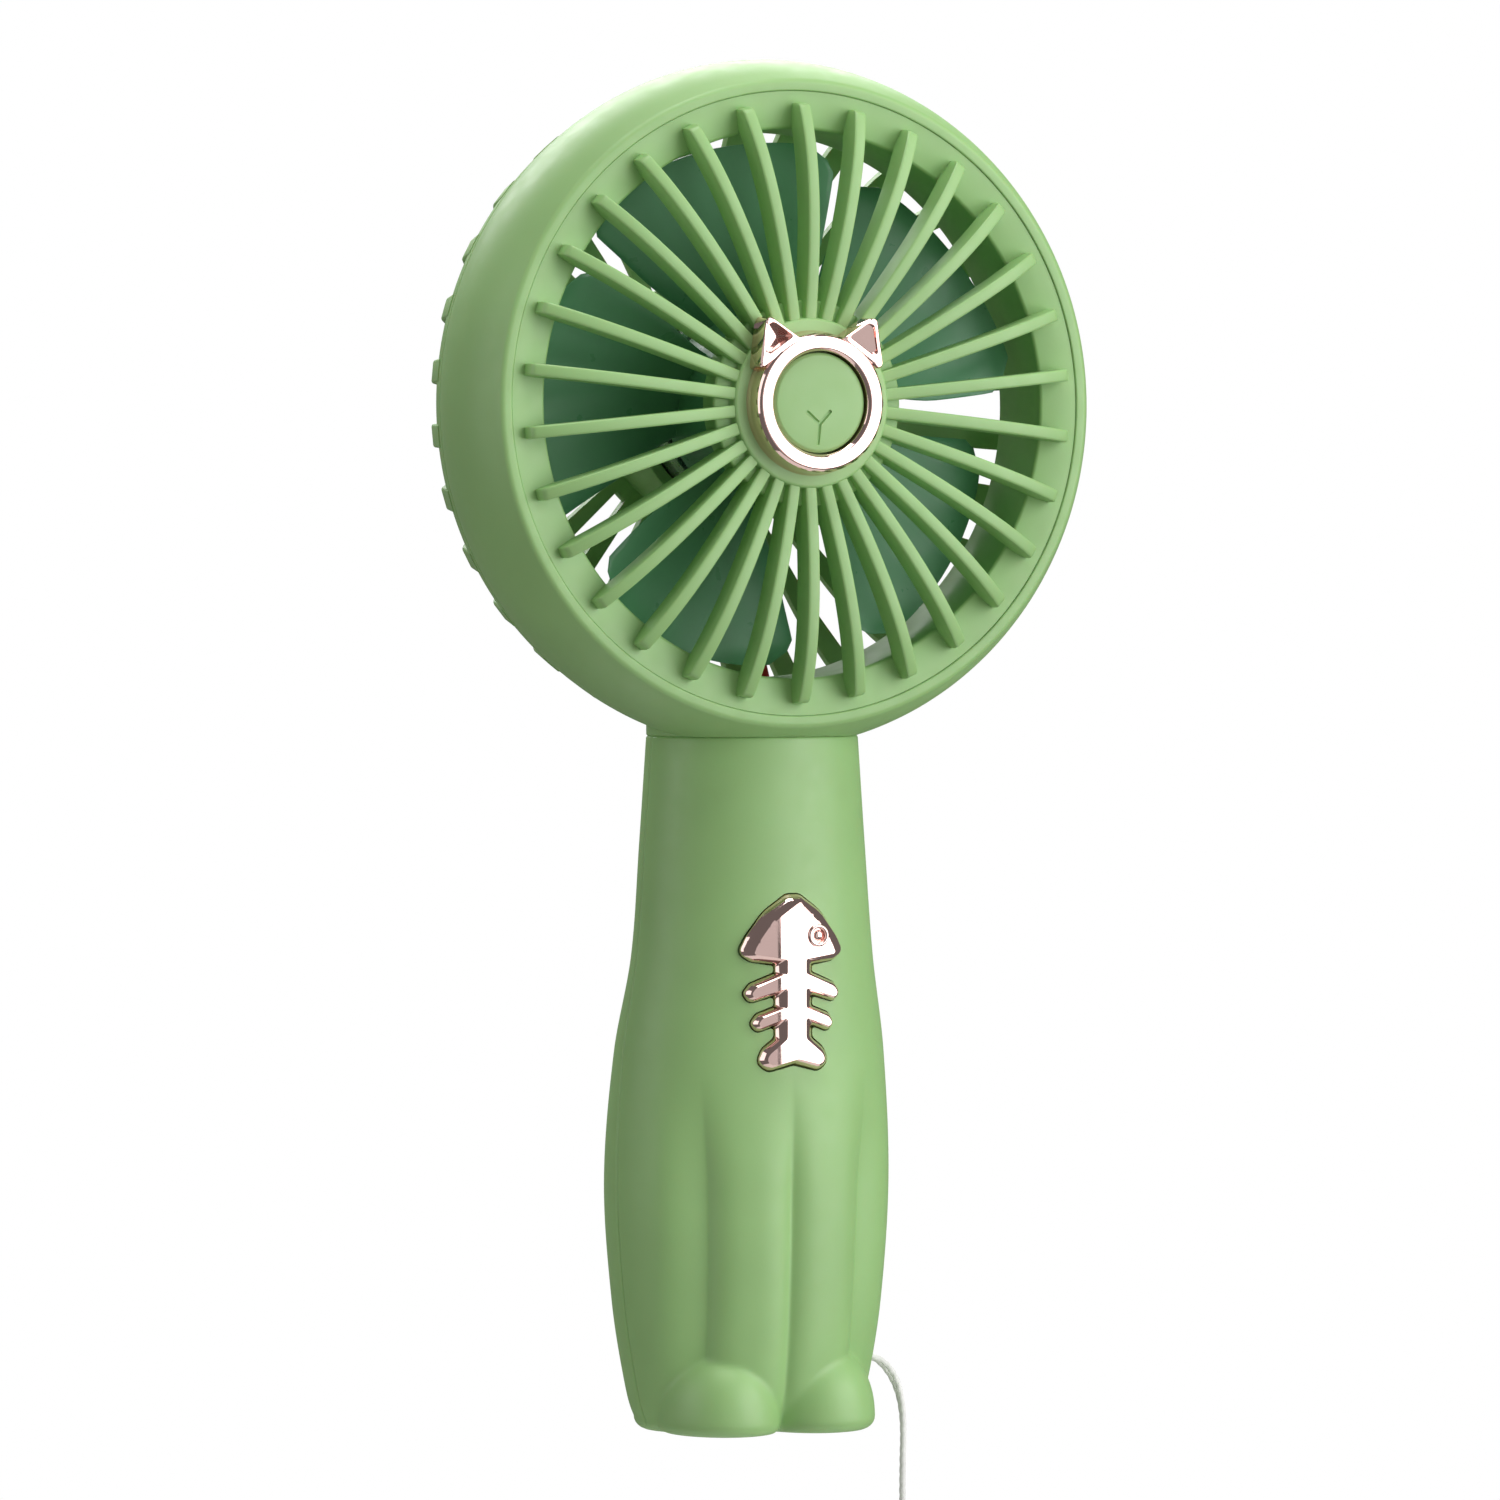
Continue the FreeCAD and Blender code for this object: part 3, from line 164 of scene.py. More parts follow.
def rod(centre, radius, length, soft=0.0):
    """A round bar from centre towards +Y, with softened ends."""
    rim = rounded([(0.0, 0.0), (radius, 0.0, soft), (radius, length, soft), (0.0, length)])
    return turned(rim, 48, centre)


def skin(rings, count):
    """The side faces of a tube through rings of count points each."""
    return [(ring * count + spot, ring * count + (spot + 1) % count,
             (ring + 1) * count + (spot + 1) % count, (ring + 1) * count + spot)
            for ring in range(rings - 1) for spot in range(count)]


def stacked(outlines, upright=False):
    """A closed solid skinned over (outline, height) levels, along Y or upright.

    The outlines have equal counts of points, and a height may be a function of the point.
    """
    count = len(outlines[0][0])
    points = []
    for outline, height in outlines:
        for u, v in outline:
            level = height(u, v) if callable(height) else height
            points.append((u, v, level) if upright else (u, level, v))
    faces = skin(len(outlines), count)
    for level in (0, len(outlines) - 1):
        flat = [Vector((u, v, 0.0)) for u, v in outlines[level][0]]
        faces += [tuple(level * count + spot for spot in face)
                  for face in tessellate_polygon([flat])]
    return points, faces


def mesh_piece(name, points, faces, sharp=35.0):
    """A Blender object from millimetre points, with clean outward normals and smooth shading."""
    mesh = bpy.data.meshes.new(name)
    mesh.from_pydata([Vector(point) * MM for point in points], [], faces)
    piece = bpy.data.objects.new(name, mesh)
    bpy.context.scene.collection.objects.link(piece)
    SHARP[piece.name] = sharp
    clean(piece, MERGE / 2.0, outward=True)
    return piece


def clean(piece, thin, outward=False):
    """Join points that are one, drop slivers, turn the normals outwards if asked, and shade."""
    shape = bmesh.new()
    shape.from_mesh(piece.data)
    bmesh.ops.remove_doubles(shape, verts=shape.verts, dist=MERGE)
    bmesh.ops.dissolve_degenerate(shape, edges=shape.edges, dist=thin)
    if outward:
        bmesh.ops.recalc_face_normals(shape, faces=shape.faces)
    shape.to_mesh(piece.data)
    shape.free()
    shade(piece)


def shade(piece):
    mesh = piece.data
    mesh.polygons.foreach_set("use_smooth", [True] * len(mesh.polygons))
    mesh.set_sharp_from_angle(angle=radians(SHARP[piece.name]))


def evaluated(item):
    """A new mesh of what an object's curve or modifiers give."""
    graph = bpy.context.evaluated_depsgraph_get()
    return bpy.data.meshes.new_from_object(item.evaluated_get(graph))


def apply_modifiers(piece):
    """Keep the mesh that the piece's modifiers give."""
    old, mesh = piece.data, evaluated(piece)
    piece.modifiers.clear()
    piece.data = mesh
    bpy.data.meshes.remove(old)
    mesh.name = piece.name


def boolean(piece, tool, operation):
    """Join, cut or intersect a piece with a tool, which is used up."""
    modifier = piece.modifiers.new("boolean", "BOOLEAN")
    modifier.operation = operation
    modifier.object = tool
    modifier.solver = "EXACT"
    apply_modifiers(piece)
    bpy.data.objects.remove(tool)
    clean(piece, MERGE)


def tool(shape):
    """A passing piece for boolean() to use, from (points, faces)."""
    return mesh_piece("tool", *shape)


def cut(piece, shape):
    boolean(piece, tool(shape), "DIFFERENCE")


# ---- materials

class Nodes:
    """A short way to write a material's node tree."""

    def __init__(self, name):
        self.material = bpy.data.materials.new(name)
        self.material.use_nodes = True
        self.tree = self.material.node_tree
        self.shader = self.tree.nodes["Principled BSDF"]
        self.place = self.add("ShaderNodeTexCoord").outputs["Object"]

    def add(self, kind, **settings):
        node = self.tree.nodes.new(kind)
        for key, value in settings.items():
            if key in node.inputs:
                node.inputs[key].default_value = value
            else:
                setattr(node, key, value)
        return node

    def link(self, source, target):
        self.tree.links.new(source, target)

    def noise(self, scale, detail=2.0, stretch=None, distortion=0.0):
        node = self.add("ShaderNodeTexNoise", Scale=scale, Detail=detail, Distortion=distortion)
        if stretch:
            mapping = self.add("ShaderNodeMapping", Scale=stretch)
            self.link(self.place, mapping.inputs["Vector"])
            self.link(mapping.outputs["Vector"], node.inputs["Vector"])
        else:
            self.link(self.place, node.inputs["Vector"])
        return node.outputs["Fac"]

    def ramp(self, source, low, high, start=0.3, end=0.7):
        """A colour between low and high as source goes from start to end."""
        node = self.add("ShaderNodeValToRGB")
        for index, position, colour in ((0, start, low), (1, end, high)):
            node.color_ramp.elements[index].position = position
            node.color_ramp.elements[index].color = (*colour, 1.0)
        self.link(source, node.inputs["Fac"])
        return node.outputs["Color"]

    def span(self, source, low, high, start=0.3, end=0.7):
        """A number between low and high as source goes from start to end."""
        node = self.add("ShaderNodeMapRange", **{"From Min": start, "From Max": end,
                                                 "To Min": low, "To Max": high})
        self.link(source, node.inputs["Value"])
        return node.outputs["Result"]

    def bump(self, source, strength, distance, under=None):
        node = self.add("ShaderNodeBump", Strength=strength, Distance=distance)
        self.link(source, node.inputs["Height"])
        if under:
            self.link(under, node.inputs["Normal"])
        return node.outputs["Normal"]

    def finish(self, colour=None, roughness=None, normal=None, **constants):
        for key, value in constants.items():
            self.shader.inputs[key.replace("_", " ")].default_value = value
        for key, source in (("Base Color", colour), ("Roughness", roughness), ("Normal", normal)):
            if source:
                self.link(source, self.shader.inputs[key])
        return self.material


def shades(colour, spread):
    """A darker and a lighter neighbour of a colour."""
    return ([channel * (1.0 - spread) for channel in colour],
            [min(1.0, channel * (1.0 + spread)) for channel in colour])


def moulded(name, colour, roughness=0.45, grain=2600.0, depth=0.25, spread=0.05, **constants):
    """Injection-moulded plastic: faint flow clouding, uneven satin and a spark-eroded grain."""
    nodes = Nodes(name)
    low, high = shades(colour, spread)
    cloud = nodes.noise(45.0, 3.0, distortion=0.4)
    fine = nodes.noise(grain, 2.0)
    broad = nodes.noise(grain / 6.0, 3.0)
    normal = nodes.bump(broad, depth * 0.5, 0.00004)
    normal = nodes.bump(fine, depth, 0.00002, normal)
    return nodes.finish(nodes.ramp(cloud, low, high),
                        nodes.span(broad, roughness - 0.05, roughness + 0.07), normal, **constants)


def plated(name, colour, roughness=0.05):
    """Bright plating over plastic: near-mirror, with a faint ripple and finger haze."""
    nodes = Nodes(name)
    low, high = shades(colour, 0.03)
    haze = nodes.noise(160.0, 4.0)
    ripple = nodes.noise(420.0, 1.0)
    return nodes.finish(nodes.ramp(haze, low, high),
                        nodes.span(haze, roughness * 0.6, roughness * 2.2),
                        nodes.bump(ripple, 0.06, 0.00004), Metallic=1.0)


def metal(name, colour, roughness=0.3, stretch=(1.0, 1.0, 1.0), scale=1800.0, spread=0.12):
    """Turned, drawn or stamped metal with tool marks along the stretched axis."""
    nodes = Nodes(name)
    low, high = shades(colour, spread)
    marks = nodes.noise(scale, 3.0, stretch=stretch)
    stain = nodes.noise(120.0, 4.0)
    return nodes.finish(nodes.ramp(stain, low, high),
                        nodes.span(marks, roughness - 0.08, roughness + 0.12),
                        nodes.bump(marks, 0.2, 0.00003), Metallic=1.0)


def woven(name, colour, scale=5200.0, roughness=0.75):
    """Fine filament yarn: fuzzy, uneven, with a soft sheen."""
    nodes = Nodes(name)
    low, high = shades(colour, 0.08)
    fibres = nodes.noise(scale, 3.0, stretch=(1.0, 1.0, 0.25))
    soil = nodes.noise(90.0, 3.0)
    return nodes.finish(nodes.ramp(soil, low, high),
                        nodes.span(fibres, roughness - 0.1, roughness + 0.1),
                        nodes.bump(fibres, 0.35, 0.00004), Sheen_Weight=0.25,
                        Sheen_Roughness=0.5)


def board_surface(name, colour):
    """Solder mask with faint tracks under it."""
    nodes = Nodes(name)
    low, high = shades(colour, 0.35)
    tracks = nodes.add("ShaderNodeTexVoronoi", Scale=900.0, distance="MANHATTAN")
    nodes.link(nodes.place, tracks.inputs["Vector"])
    cells = tracks.outputs["Distance"]
    return nodes.finish(nodes.ramp(cells, low, high, 0.35, 0.42),
                        nodes.span(nodes.noise(300.0), 0.25, 0.4),
                        nodes.bump(cells, 0.3, 0.00003))


GREEN = (0.312, 0.540, 0.200)
MATERIALS = {
    "green_plastic": moulded("sage green plastic", GREEN, Subsurface_Weight=0.08,
                             Subsurface_Scale=0.0015, Specular_IOR_Level=0.65),
    "impeller_plastic": moulded("impeller green plastic", (0.100, 0.300, 0.150), roughness=0.32,
                                depth=0.15),
    "rose_gold": plated("rose gold plating", (0.94, 0.67, 0.62)),
    "steel": metal("bright steel", (0.60, 0.60, 0.61), 0.28, stretch=(1.0, 0.15, 1.0)),
    "bronze": metal("sintered bronze", (0.62, 0.43, 0.22), 0.42),
    "copper": metal("enamelled copper", (0.72, 0.33, 0.16), 0.3, stretch=(0.3, 2.0, 2.0)),
    "black_plastic": moulded("black plastic", (0.022, 0.022, 0.024), spread=0.2),
    "magnet": moulded("ferrite", (0.06, 0.06, 0.065), roughness=0.7, depth=0.5, spread=0.2),
    "board": board_surface("solder mask", (0.015, 0.16, 0.06)),
    "ceramic_tan": moulded("chip ceramic", (0.45, 0.32, 0.2), roughness=0.35, spread=0.15),
    "cell_wrap": moulded("cell wrap", (0.06, 0.19, 0.48), roughness=0.22, depth=0.12),
    "foam": moulded("closed-cell foam", (0.07, 0.07, 0.07), roughness=0.9, grain=1400.0,
                    depth=0.9, spread=0.3),
    "red_insulation": moulded("red insulation", (0.50, 0.02, 0.02), roughness=0.4),
    "black_insulation": moulded("black insulation", (0.02, 0.02, 0.02), roughness=0.4),
    "white_cord": woven("white polyester yarn", (0.84, 0.84, 0.81)),
    "white_plastic": moulded("white plastic", (0.82, 0.82, 0.79), roughness=0.3),
}
SLOT_OF = {part["node"]: part["material_slot"] for part in frame["record"]["subparts"]}


def dress(piece, slot):
    piece.data.materials.clear()
    piece.data.materials.append(MATERIALS[slot])


for node, carried in frame["nodes"].items():
    dress(carried, SLOT_OF[node])


def place(piece, body, slot, *nodes):
    """Give a piece its material, the body it moves with and the CAD nodes it stands for."""
    dress(piece, slot)
    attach(piece, body)
    if nodes:
        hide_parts(*nodes)
    return piece


# ---- camera, light and floor

AZIMUTH, ELEVATION, DISTANCE = -25.2, 1.4, 1000.0
AIM = (-0.19, -0.09, 41.55)
LENS = 192.4
LAMP_DISTANCE, LAMP_AIM = 800.0, (0.0, 0.0, 40.0)
# Name, azimuth, elevation, width, height and power of each soft lamp.
LAMPS = (("key", 40.0, 12.0, 750.0, 900.0, 6.4),
         ("front", -3.0, -4.0, 480.0, 900.0, 0.6),
         ("fill", -92.0, 14.0, 520.0, 700.0, 1.45),
         ("top", 0.0, 78.0, 500.0, 400.0, 3.4),
         ("back", 172.0, 40.0, 800.0, 400.0, 5.0))


def look(azimuth, elevation):
    """The direction from the object towards a viewer."""
    turn, rise = radians(azimuth), radians(elevation)
    return Vector((sin(turn) * cos(rise), -cos(turn) * cos(rise),
                   sin(rise)))


def aimed(name, data, azimuth, elevation, distance, target):
    """A camera or lamp at a distance from a target, turned towards it."""
    item = bpy.data.objects.new(name, data)
    bpy.context.scene.collection.objects.link(item)
    way = look(azimuth, elevation)
    item.location = (Vector(target) + way * distance) * MM
    item.rotation_euler = way.to_track_quat("Z", "Y").to_euler()
    return item


camera = bpy.data.cameras.new("camera")
camera.lens, camera.sensor_width, camera.clip_start = LENS, 36.0, 0.01
bpy.context.scene.camera = aimed("camera", camera, AZIMUTH, ELEVATION, DISTANCE, AIM)

for name, azimuth, elevation, width, height, power in LAMPS:
    lamp = bpy.data.lights.new(name, "AREA")
    lamp.shape = "RECTANGLE"
    lamp.size, lamp.size_y = width * MM, height * MM
    lamp.energy = power
    aimed(name, lamp, azimuth, elevation, LAMP_DISTANCE, LAMP_AIM)


def studio_world():
    """White behind the object, and a soft grey room for what it reflects."""
    world = bpy.data.worlds.new("studio")
    bpy.context.scene.world = world
    world.use_nodes = True
    tree = world.node_tree
    room, white = tree.nodes["Background"], tree.nodes.new("ShaderNodeBackground")
    for node, colour, strength in ((room, (0.62, 0.61, 0.60, 1.0), 0.24),
                                   (white, (1.0, 1.0, 1.0, 1.0), 1.0)):
        node.inputs["Color"].default_value = colour
        node.inputs["Strength"].default_value = strength
    ray = tree.nodes.new("ShaderNodeLightPath")
    mix = tree.nodes.new("ShaderNodeMixShader")
    tree.links.new(ray.outputs["Is Camera Ray"], mix.inputs["Fac"])
    tree.links.new(room.outputs["Background"], mix.inputs[1])
    tree.links.new(white.outputs["Background"], mix.inputs[2])
    tree.links.new(mix.outputs["Shader"], tree.nodes["World Output"].inputs["Surface"])


FLOOR_RADIUS, FLOOR_THICK = 140.0, 12.0


def make_floor():
    """A pale round table top below the hanging strap."""
    rim = rounded([(0.0, 0.0), (FLOOR_RADIUS, 0.0, 4.0), (FLOOR_RADIUS, -FLOOR_THICK, 4.0),
                   (0.0, -FLOOR_THICK)])
    floor = mesh_piece("floor", *turned(rim, 96, (0.0, 0.0, FLOOR), upright=True))
    nodes = Nodes("pale floor")
    grain = nodes.noise(60.0, 4.0)
    floor.data.materials.append(nodes.finish(
        nodes.ramp(grain, (0.62, 0.62, 0.61), (0.68, 0.68, 0.67)),
        nodes.span(grain, 0.55, 0.7), nodes.bump(grain, 0.05, 0.0004)))


studio_world()
make_floor()
bpy.context.scene.view_settings.view_transform = "Standard"


# ---- strap

STRAP_HOLE = (13.6, 2.7, -34.8)
# Thickness of a strand and of the wrist cord, and the middle of the crimp's top.
STRAND, WRIST = 0.8, 2.2
CRIMP = (22.8, 3.35, -60.0)
CRIMP_RADIUS, CRIMP_TALL, CRIMP_GROOVE = 2.6, 7.0, 0.22


def spline_points(name, route):
    """The smooth line of a cord whose control points are the route's."""
    curve = bpy.data.curves.new(name, "CURVE")
    curve.dimensions = "3D"
    curve.resolution_u = 24
    spline = curve.splines.new("NURBS")
    spline.points.add(len(route) - 1)
    for point, spot in zip(spline.points, route):
        point.co = (*(Vector(spot) * MM), 1.0)
    spline.order_u = 3
    spline.use_endpoint_u = True
    carrier = bpy.data.objects.new(name, curve)
    bpy.context.scene.collection.objects.link(carrier)
    bpy.context.view_layer.update()
    points = [vertex.co.copy() / MM for vertex in evaluated(carrier).vertices]
    bpy.data.objects.remove(carrier)
    return points


def evenly(points, pitch):
    """Points of a line, spaced evenly along it, and the line's length."""
    lengths = [0.0]
    for before, after in zip(points, points[1:]):
        lengths.append(lengths[-1] + (after - before).length)
    count = max(2, int(lengths[-1] / pitch))
    spaced, spot = [], 0
    for index in range(count + 1):
        goal = lengths[-1] * index / count
        while spot < len(points) - 2 and lengths[spot + 1] < goal:
            spot += 1
        share = (goal - lengths[spot]) / (lengths[spot + 1] - lengths[spot])
        spaced.append(points[spot].lerp(points[spot + 1], share))
    return spaced, lengths[-1]


def yarn_tube(name, route, thick, pitch, around, relief):
    """A cord as a tube whose surface has the relief of its plaited or twisted yarns."""
    line, length = evenly(spline_points(name, route), pitch)
    side = (line[1] - line[0]).normalized().orthogonal().normalized()
    points = []
    for index, spot in enumerate(line):
        way = (line[min(index + 1, len(line) - 1)] - line[max(index - 1, 0)]).normalized()
        side = (side - way * side.dot(way)).normalized()
        up = way.cross(side)
        run = length * index / (len(line) - 1)
        for step in range(around):
            angle = TURN * step / around
            radius = thick / 2.0 * (1.0 - relief(angle, run))
            points.append(tuple(spot + (side * cos(angle) + up * sin(angle)) * radius))
    last = (len(line) - 1) * around
    faces = skin(len(line), around)
    faces += [tuple(reversed(range(around))), tuple(range(last, last + around))]
    piece = mesh_piece(name, points, faces, sharp=80.0)
    return piece, line, length


def twisted(angle, run):
    """Two yarns twisted together."""
    return 0.16 * (1.0 - abs(cos(angle - run * TURN / 2.6)))


def plaited(angle, run):
    """Eight yarns plaited, half of them each way, over and under in turn."""
    left = cos(4.0 * angle + run * TURN / 1.7)
    right = cos(4.0 * angle - run * TURN / 1.7)
    return 0.07 * (1.0 - max(left, right))


def make_strap():
    exit_x, near_y, level = STRAP_HOLE
    crimp = make_crimp()
    for name, exit_y, hang_x, hang_y in (("strap_strand_near", near_y, 22.5, 2.9),
                                         ("strap_strand_far", near_y + 1.8, 22.9, 3.8)):
        route = [(exit_x, exit_y, level), (18.4, exit_y, level),
                 (21.6, (exit_y + hang_y) / 2, -37.6), (hang_x + 0.3, hang_y, -42.6),
                 (hang_x, hang_y, -51.0), (hang_x + 0.1, hang_y, -60.0)]
        strand, line, length = yarn_tube(name + "_yarn", route, STRAND, 0.1, 12, twisted)
        place(strand, "root", "white_cord", name)
    right = [(1.25, -67.0), (1.25, -73.0), (6.2, -82.0), (13.8, -94.0), (21.6, -108.2),
             (24.4, -123.8), (17.8, -138.6), (6.3, -146.4)]
    left = [(-x, z - 0.6) for x, z in reversed(right[2:])] + [(-1.25, -73.0), (-1.25, -67.0)]
    route = [(CRIMP[0] + x, CRIMP[1] - max(0.0, -73.0 - z) * 0.02, z) for x, z in right + left]
    loop, line, length = yarn_tube("wrist_cord_plait", route, WRIST, 0.16, 32, plaited)
    place(loop, "root", "white_cord", "wrist_cord")


def make_crimp():
    """The moulded clasp that joins the thin strands to the wrist cord."""
    rim = [(0.0, 0.0), (CRIMP_RADIUS * 0.72, 0.0, 0.3), (CRIMP_RADIUS, 1.0, 0.8)]
    for level in (2.2, 3.3):
        rim += [(CRIMP_RADIUS, level, 0.15), (CRIMP_RADIUS - CRIMP_GROOVE, level + 0.25, 0.1),
                (CRIMP_RADIUS, level + 0.5, 0.15)]
    rim += [(CRIMP_RADIUS, CRIMP_TALL - 1.0, 0.8), (CRIMP_RADIUS * 0.72, CRIMP_TALL, 0.3),
            (0.0, CRIMP_TALL)]
    foot = (CRIMP[0], CRIMP[1], CRIMP[2] - CRIMP_TALL)
    crimp = mesh_piece("strap_clasp", *turned(rounded(rim), 64, foot, upright=True))
    return place(crimp, "root", "white_plastic", "strap_crimp")


make_strap()


# ---- handle

# Level, half width, half depth and set-back of the handle's oval, from the sole up.
STATIONS = ((-43.0, 13.2, 9.6, 1.3), (-41.4, 14.7, 11.1, 1.3), (-37.0, 15.9, 12.4, 1.3),
            (-27.0, 17.5, 13.6, 1.3), (-12.0, 18.5, 14.2, 1.3), (4.0, 17.6, 12.9, 0.6),
            (16.0, 15.7, 11.9, -0.3), (30.0, 14.6, 11.4, -0.3), (43.4, 13.6, 11.2, -0.3))
WALL, FRONT_WALL, FLOOR_WALL = 1.8, 2.75, 1.8
# Radius of the edge round the sole, and depth of the line where the two halves meet.
TOE, PART_LINE = 1.6, 0.16
# Where the legs fade out and are full, how deep and how sharp the dips beside them are, where
# the outer dip ends and over what width it runs out.
LEG_TOP, LEG_FULL = 4.0, -15.0
LEG_DEEP, LEG_CURVE, FLANK, FLANK_STEP = 1.35, 3.2, 11.3, 4.6
PAW_X, PAW_Y, PAW_WIDE, PAW_REACH, PAW_LEVEL, PAW_TALL = 6.6, -4.2, 7.5, 8.6, -42.0, 9.9
# Rows of points up the handle, and the angle over which its edges are sharp.
HANDLE_ROWS, HANDLE_EDGE = 180, 50.0


def smooth(value, low, high):
    """0 to 1 with flat ends as value goes from low to high."""
    share = min(1.0, max(0.0, (value - low) / (high - low)))
    return share * share * (3.0 - 2.0 * share)


def oval_at(level):
    """Half width, half depth and set-back, smoothly between the stations."""
    last = len(STATIONS) - 1
    spot = 0
    while spot < last - 1 and level > STATIONS[spot + 1][0]:
        spot += 1
    low, high = STATIONS[spot], STATIONS[spot + 1]
    span = high[0] - low[0]
    share = min(1.0, max(0.0, (level - low[0]) / span))
    below, above = STATIONS[max(0, spot - 1)], STATIONS[min(last, spot + 2)]
    values = []
    for index in (1, 2, 3):
        first = (high[index] - below[index]) / (high[0] - below[0]) * span
        second = (above[index] - low[index]) / (above[0] - low[0]) * span
        values.append((2 * share ** 3 - 3 * share ** 2 + 1) * low[index]
                      + (share ** 3 - 2 * share ** 2 + share) * first
                      + (3 * share ** 2 - 2 * share ** 3) * high[index]
                      + (share ** 3 - share ** 2) * second)
    return values


def ray_to_oval(angle, half_width, half_depth, centre_x, centre_y):
    """How far a ray from the handle's axis runs to the far side of an oval, or 0 if it misses."""
    across, along = cos(angle) / half_width, sin(angle) / half_depth
    shift_x, shift_y = centre_x / half_width, centre_y / half_depth
    square = across ** 2 + along ** 2
    middle = across * shift_x + along * shift_y
    rest = middle ** 2 - square * (shift_x ** 2 + shift_y ** 2 - 1.0)
    return (middle + sqrt(rest)) / square if rest > 0.0 else 0.0


def leg_relief(x, level):
    """How far the surface is sunk beside the two raised legs."""
    flank = FLANK + 0.015 * level
    deep = LEG_DEEP * (1.0 - smooth(level, LEG_FULL, LEG_TOP))
    off = sqrt(x * x + 0.09)
    if off < flank:
        return deep * abs(2.0 * off / flank - 1.0) ** LEG_CURVE
    return deep * (1.0 - smooth(off, flank, flank + FLANK_STEP))


def soft_larger(first, second, blend=0.6):
    """The larger of two numbers, blended where they are close."""
    near = max(0.0, blend - abs(first - second)) / blend
    return max(first, second) + near * near * blend / 4.0


def oval_reach(angle, level):
    """Distance from the axis to the handle's oval, without legs and paws."""
    half_width, half_depth, back = oval_at(max(level, STATIONS[1][0]))
    return ray_to_oval(angle, half_width, half_depth, 0.0, back)


def handle_reach(angle, level):
    """Distance from the axis to the handle's outside, with legs and paws on the front."""
    reach = oval_reach(angle, level)
    if sin(angle) < 0.0:
        front = smooth(-sin(angle), 0.0, 0.25)
        reach -= front * leg_relief(reach * cos(angle), level)
        share = min(1.0, max(0.0, (level - PAW_LEVEL) / PAW_TALL))
        if share < 1.0:
            swell = sqrt(1.0 - share ** 2.4)
            for centre in (-PAW_X, PAW_X):
                paw = ray_to_oval(angle, PAW_WIDE * swell, PAW_REACH * swell, centre, PAW_Y)
                reach = soft_larger(reach, paw)
    return reach


def handle_rows():
    """(share of the reach, inward step, level) of each row, from the sole's middle to the top."""
    rows = [(share, TOE, SOLE) for share in (0.0, 0.3, 0.6, 0.85)]
    rows += [(1.0, TOE * (1.0 - cos(turn)), SOLE + TOE * (1.0 - sin(turn)))
             for turn in [radians(angle) for angle in (90, 75, 60, 45, 30, 15, 0)]]
    low, high = SOLE + TOE, SEAM - 0.3
    rows += [(1.0, 0.0, low + (high - low) * index / HANDLE_ROWS)
             for index in range(1, HANDLE_ROWS + 1)]
    return rows + [(1.0, 0.05, SEAM - 0.12), (1.0, 0.18, SEAM)]


def handle_half(side, columns, hollow=True):
    """Front (side -1) or rear (side 1) half of the handle, as a closed shell or full solid."""
    edge = 0.012
    angles = [0.0, edge]
    angles += [edge + (pi - 2.0 * edge) * step / columns for step in range(1, columns)]
    angles += [pi - edge, pi]
    rows = handle_rows()
    outer, inner = [], []
    for index, angle in enumerate(angles):
        way = Vector((cos(angle), side * sin(angle)))
        groove = PART_LINE if index in (0, len(angles) - 1) else 0.0
        wall = WALL + (FRONT_WALL - WALL) * max(0.0, -way.y)
        for share, step, level in rows:
            reach = handle_reach(side * angle, level)
            spot = way * share * (reach - step - groove)
            outer.append((spot.x, spot.y, level))
            if hollow:
                spot = way * share * (oval_reach(side * angle, level) - wall)
                inner.append((spot.x, spot.y, max(level, SOLE + FLOOR_WALL)))
            else:
                inner.append((0.0, 0.0, level))
    tall, wide, base = len(rows), len(angles), len(outer)
    faces = []
    for column in range(wide - 1):
        for row in range(tall - 1):
            spot = column * tall + row
            quad = (spot, spot + tall, spot + tall + 1, spot + 1)
            faces.append(quad)
            if hollow:
                faces.append(tuple(base + corner for corner in reversed(quad)))
        top = column * tall + tall - 1
        faces.append((top, top + tall, base + top + tall, base + top))
    for column in (0, wide - 1):
        for row in range(tall - 1):
            spot = column * tall + row
            faces.append((spot, spot + 1, base + spot + 1, base + spot))
    return outer + inner, faces


def oblong(centre, half, radius):
    """A round-cornered box outline."""
    low, high = [(centre[0] + side * half[0], centre[1] + side * half[1]) for side in (-1, 1)]
    return rounded([(*low, radius), (high[0], low[1], radius), (*high, radius),
                    (low[0], high[1], radius)], 6)


PORT_MIDDLE, PORT_HALF, PORT_ROUND = (0.0, -2.9), (4.75, 1.88), 1.8
# The stem behind the fish, the hole it passes through, and the gap round the fish.
STEM, STEM_RADIUS, STEM_HOLE, FISH_GAP = (0.0, 18.0), 1.5, 1.9, 0.12
RECESS_FLOOR, RECESS_MOUTH = -10.5, -18.0


def make_handle_front():
    piece = mesh_piece("handle_front_shell", *handle_half(-1, 200), sharp=HANDLE_EDGE)
    recess = rounded([corner[:3] for corner in inset(FISH, [-FISH_GAP] * len(FISH))], 3)
    cut(piece, stacked([(recess, RECESS_FLOOR), (recess, RECESS_MOUTH)]))
    cut(piece, rod((STEM[0], -13.0, STEM[1]), STEM_HOLE, 4.0))
    port = oblong(PORT_MIDDLE, PORT_HALF, PORT_ROUND)
    cut(piece, stacked([(port, SOLE - 1.0), (port, SOLE + FLOOR_WALL + 1.0)], True))
    place(piece, "root", "green_plastic", "handle_front")


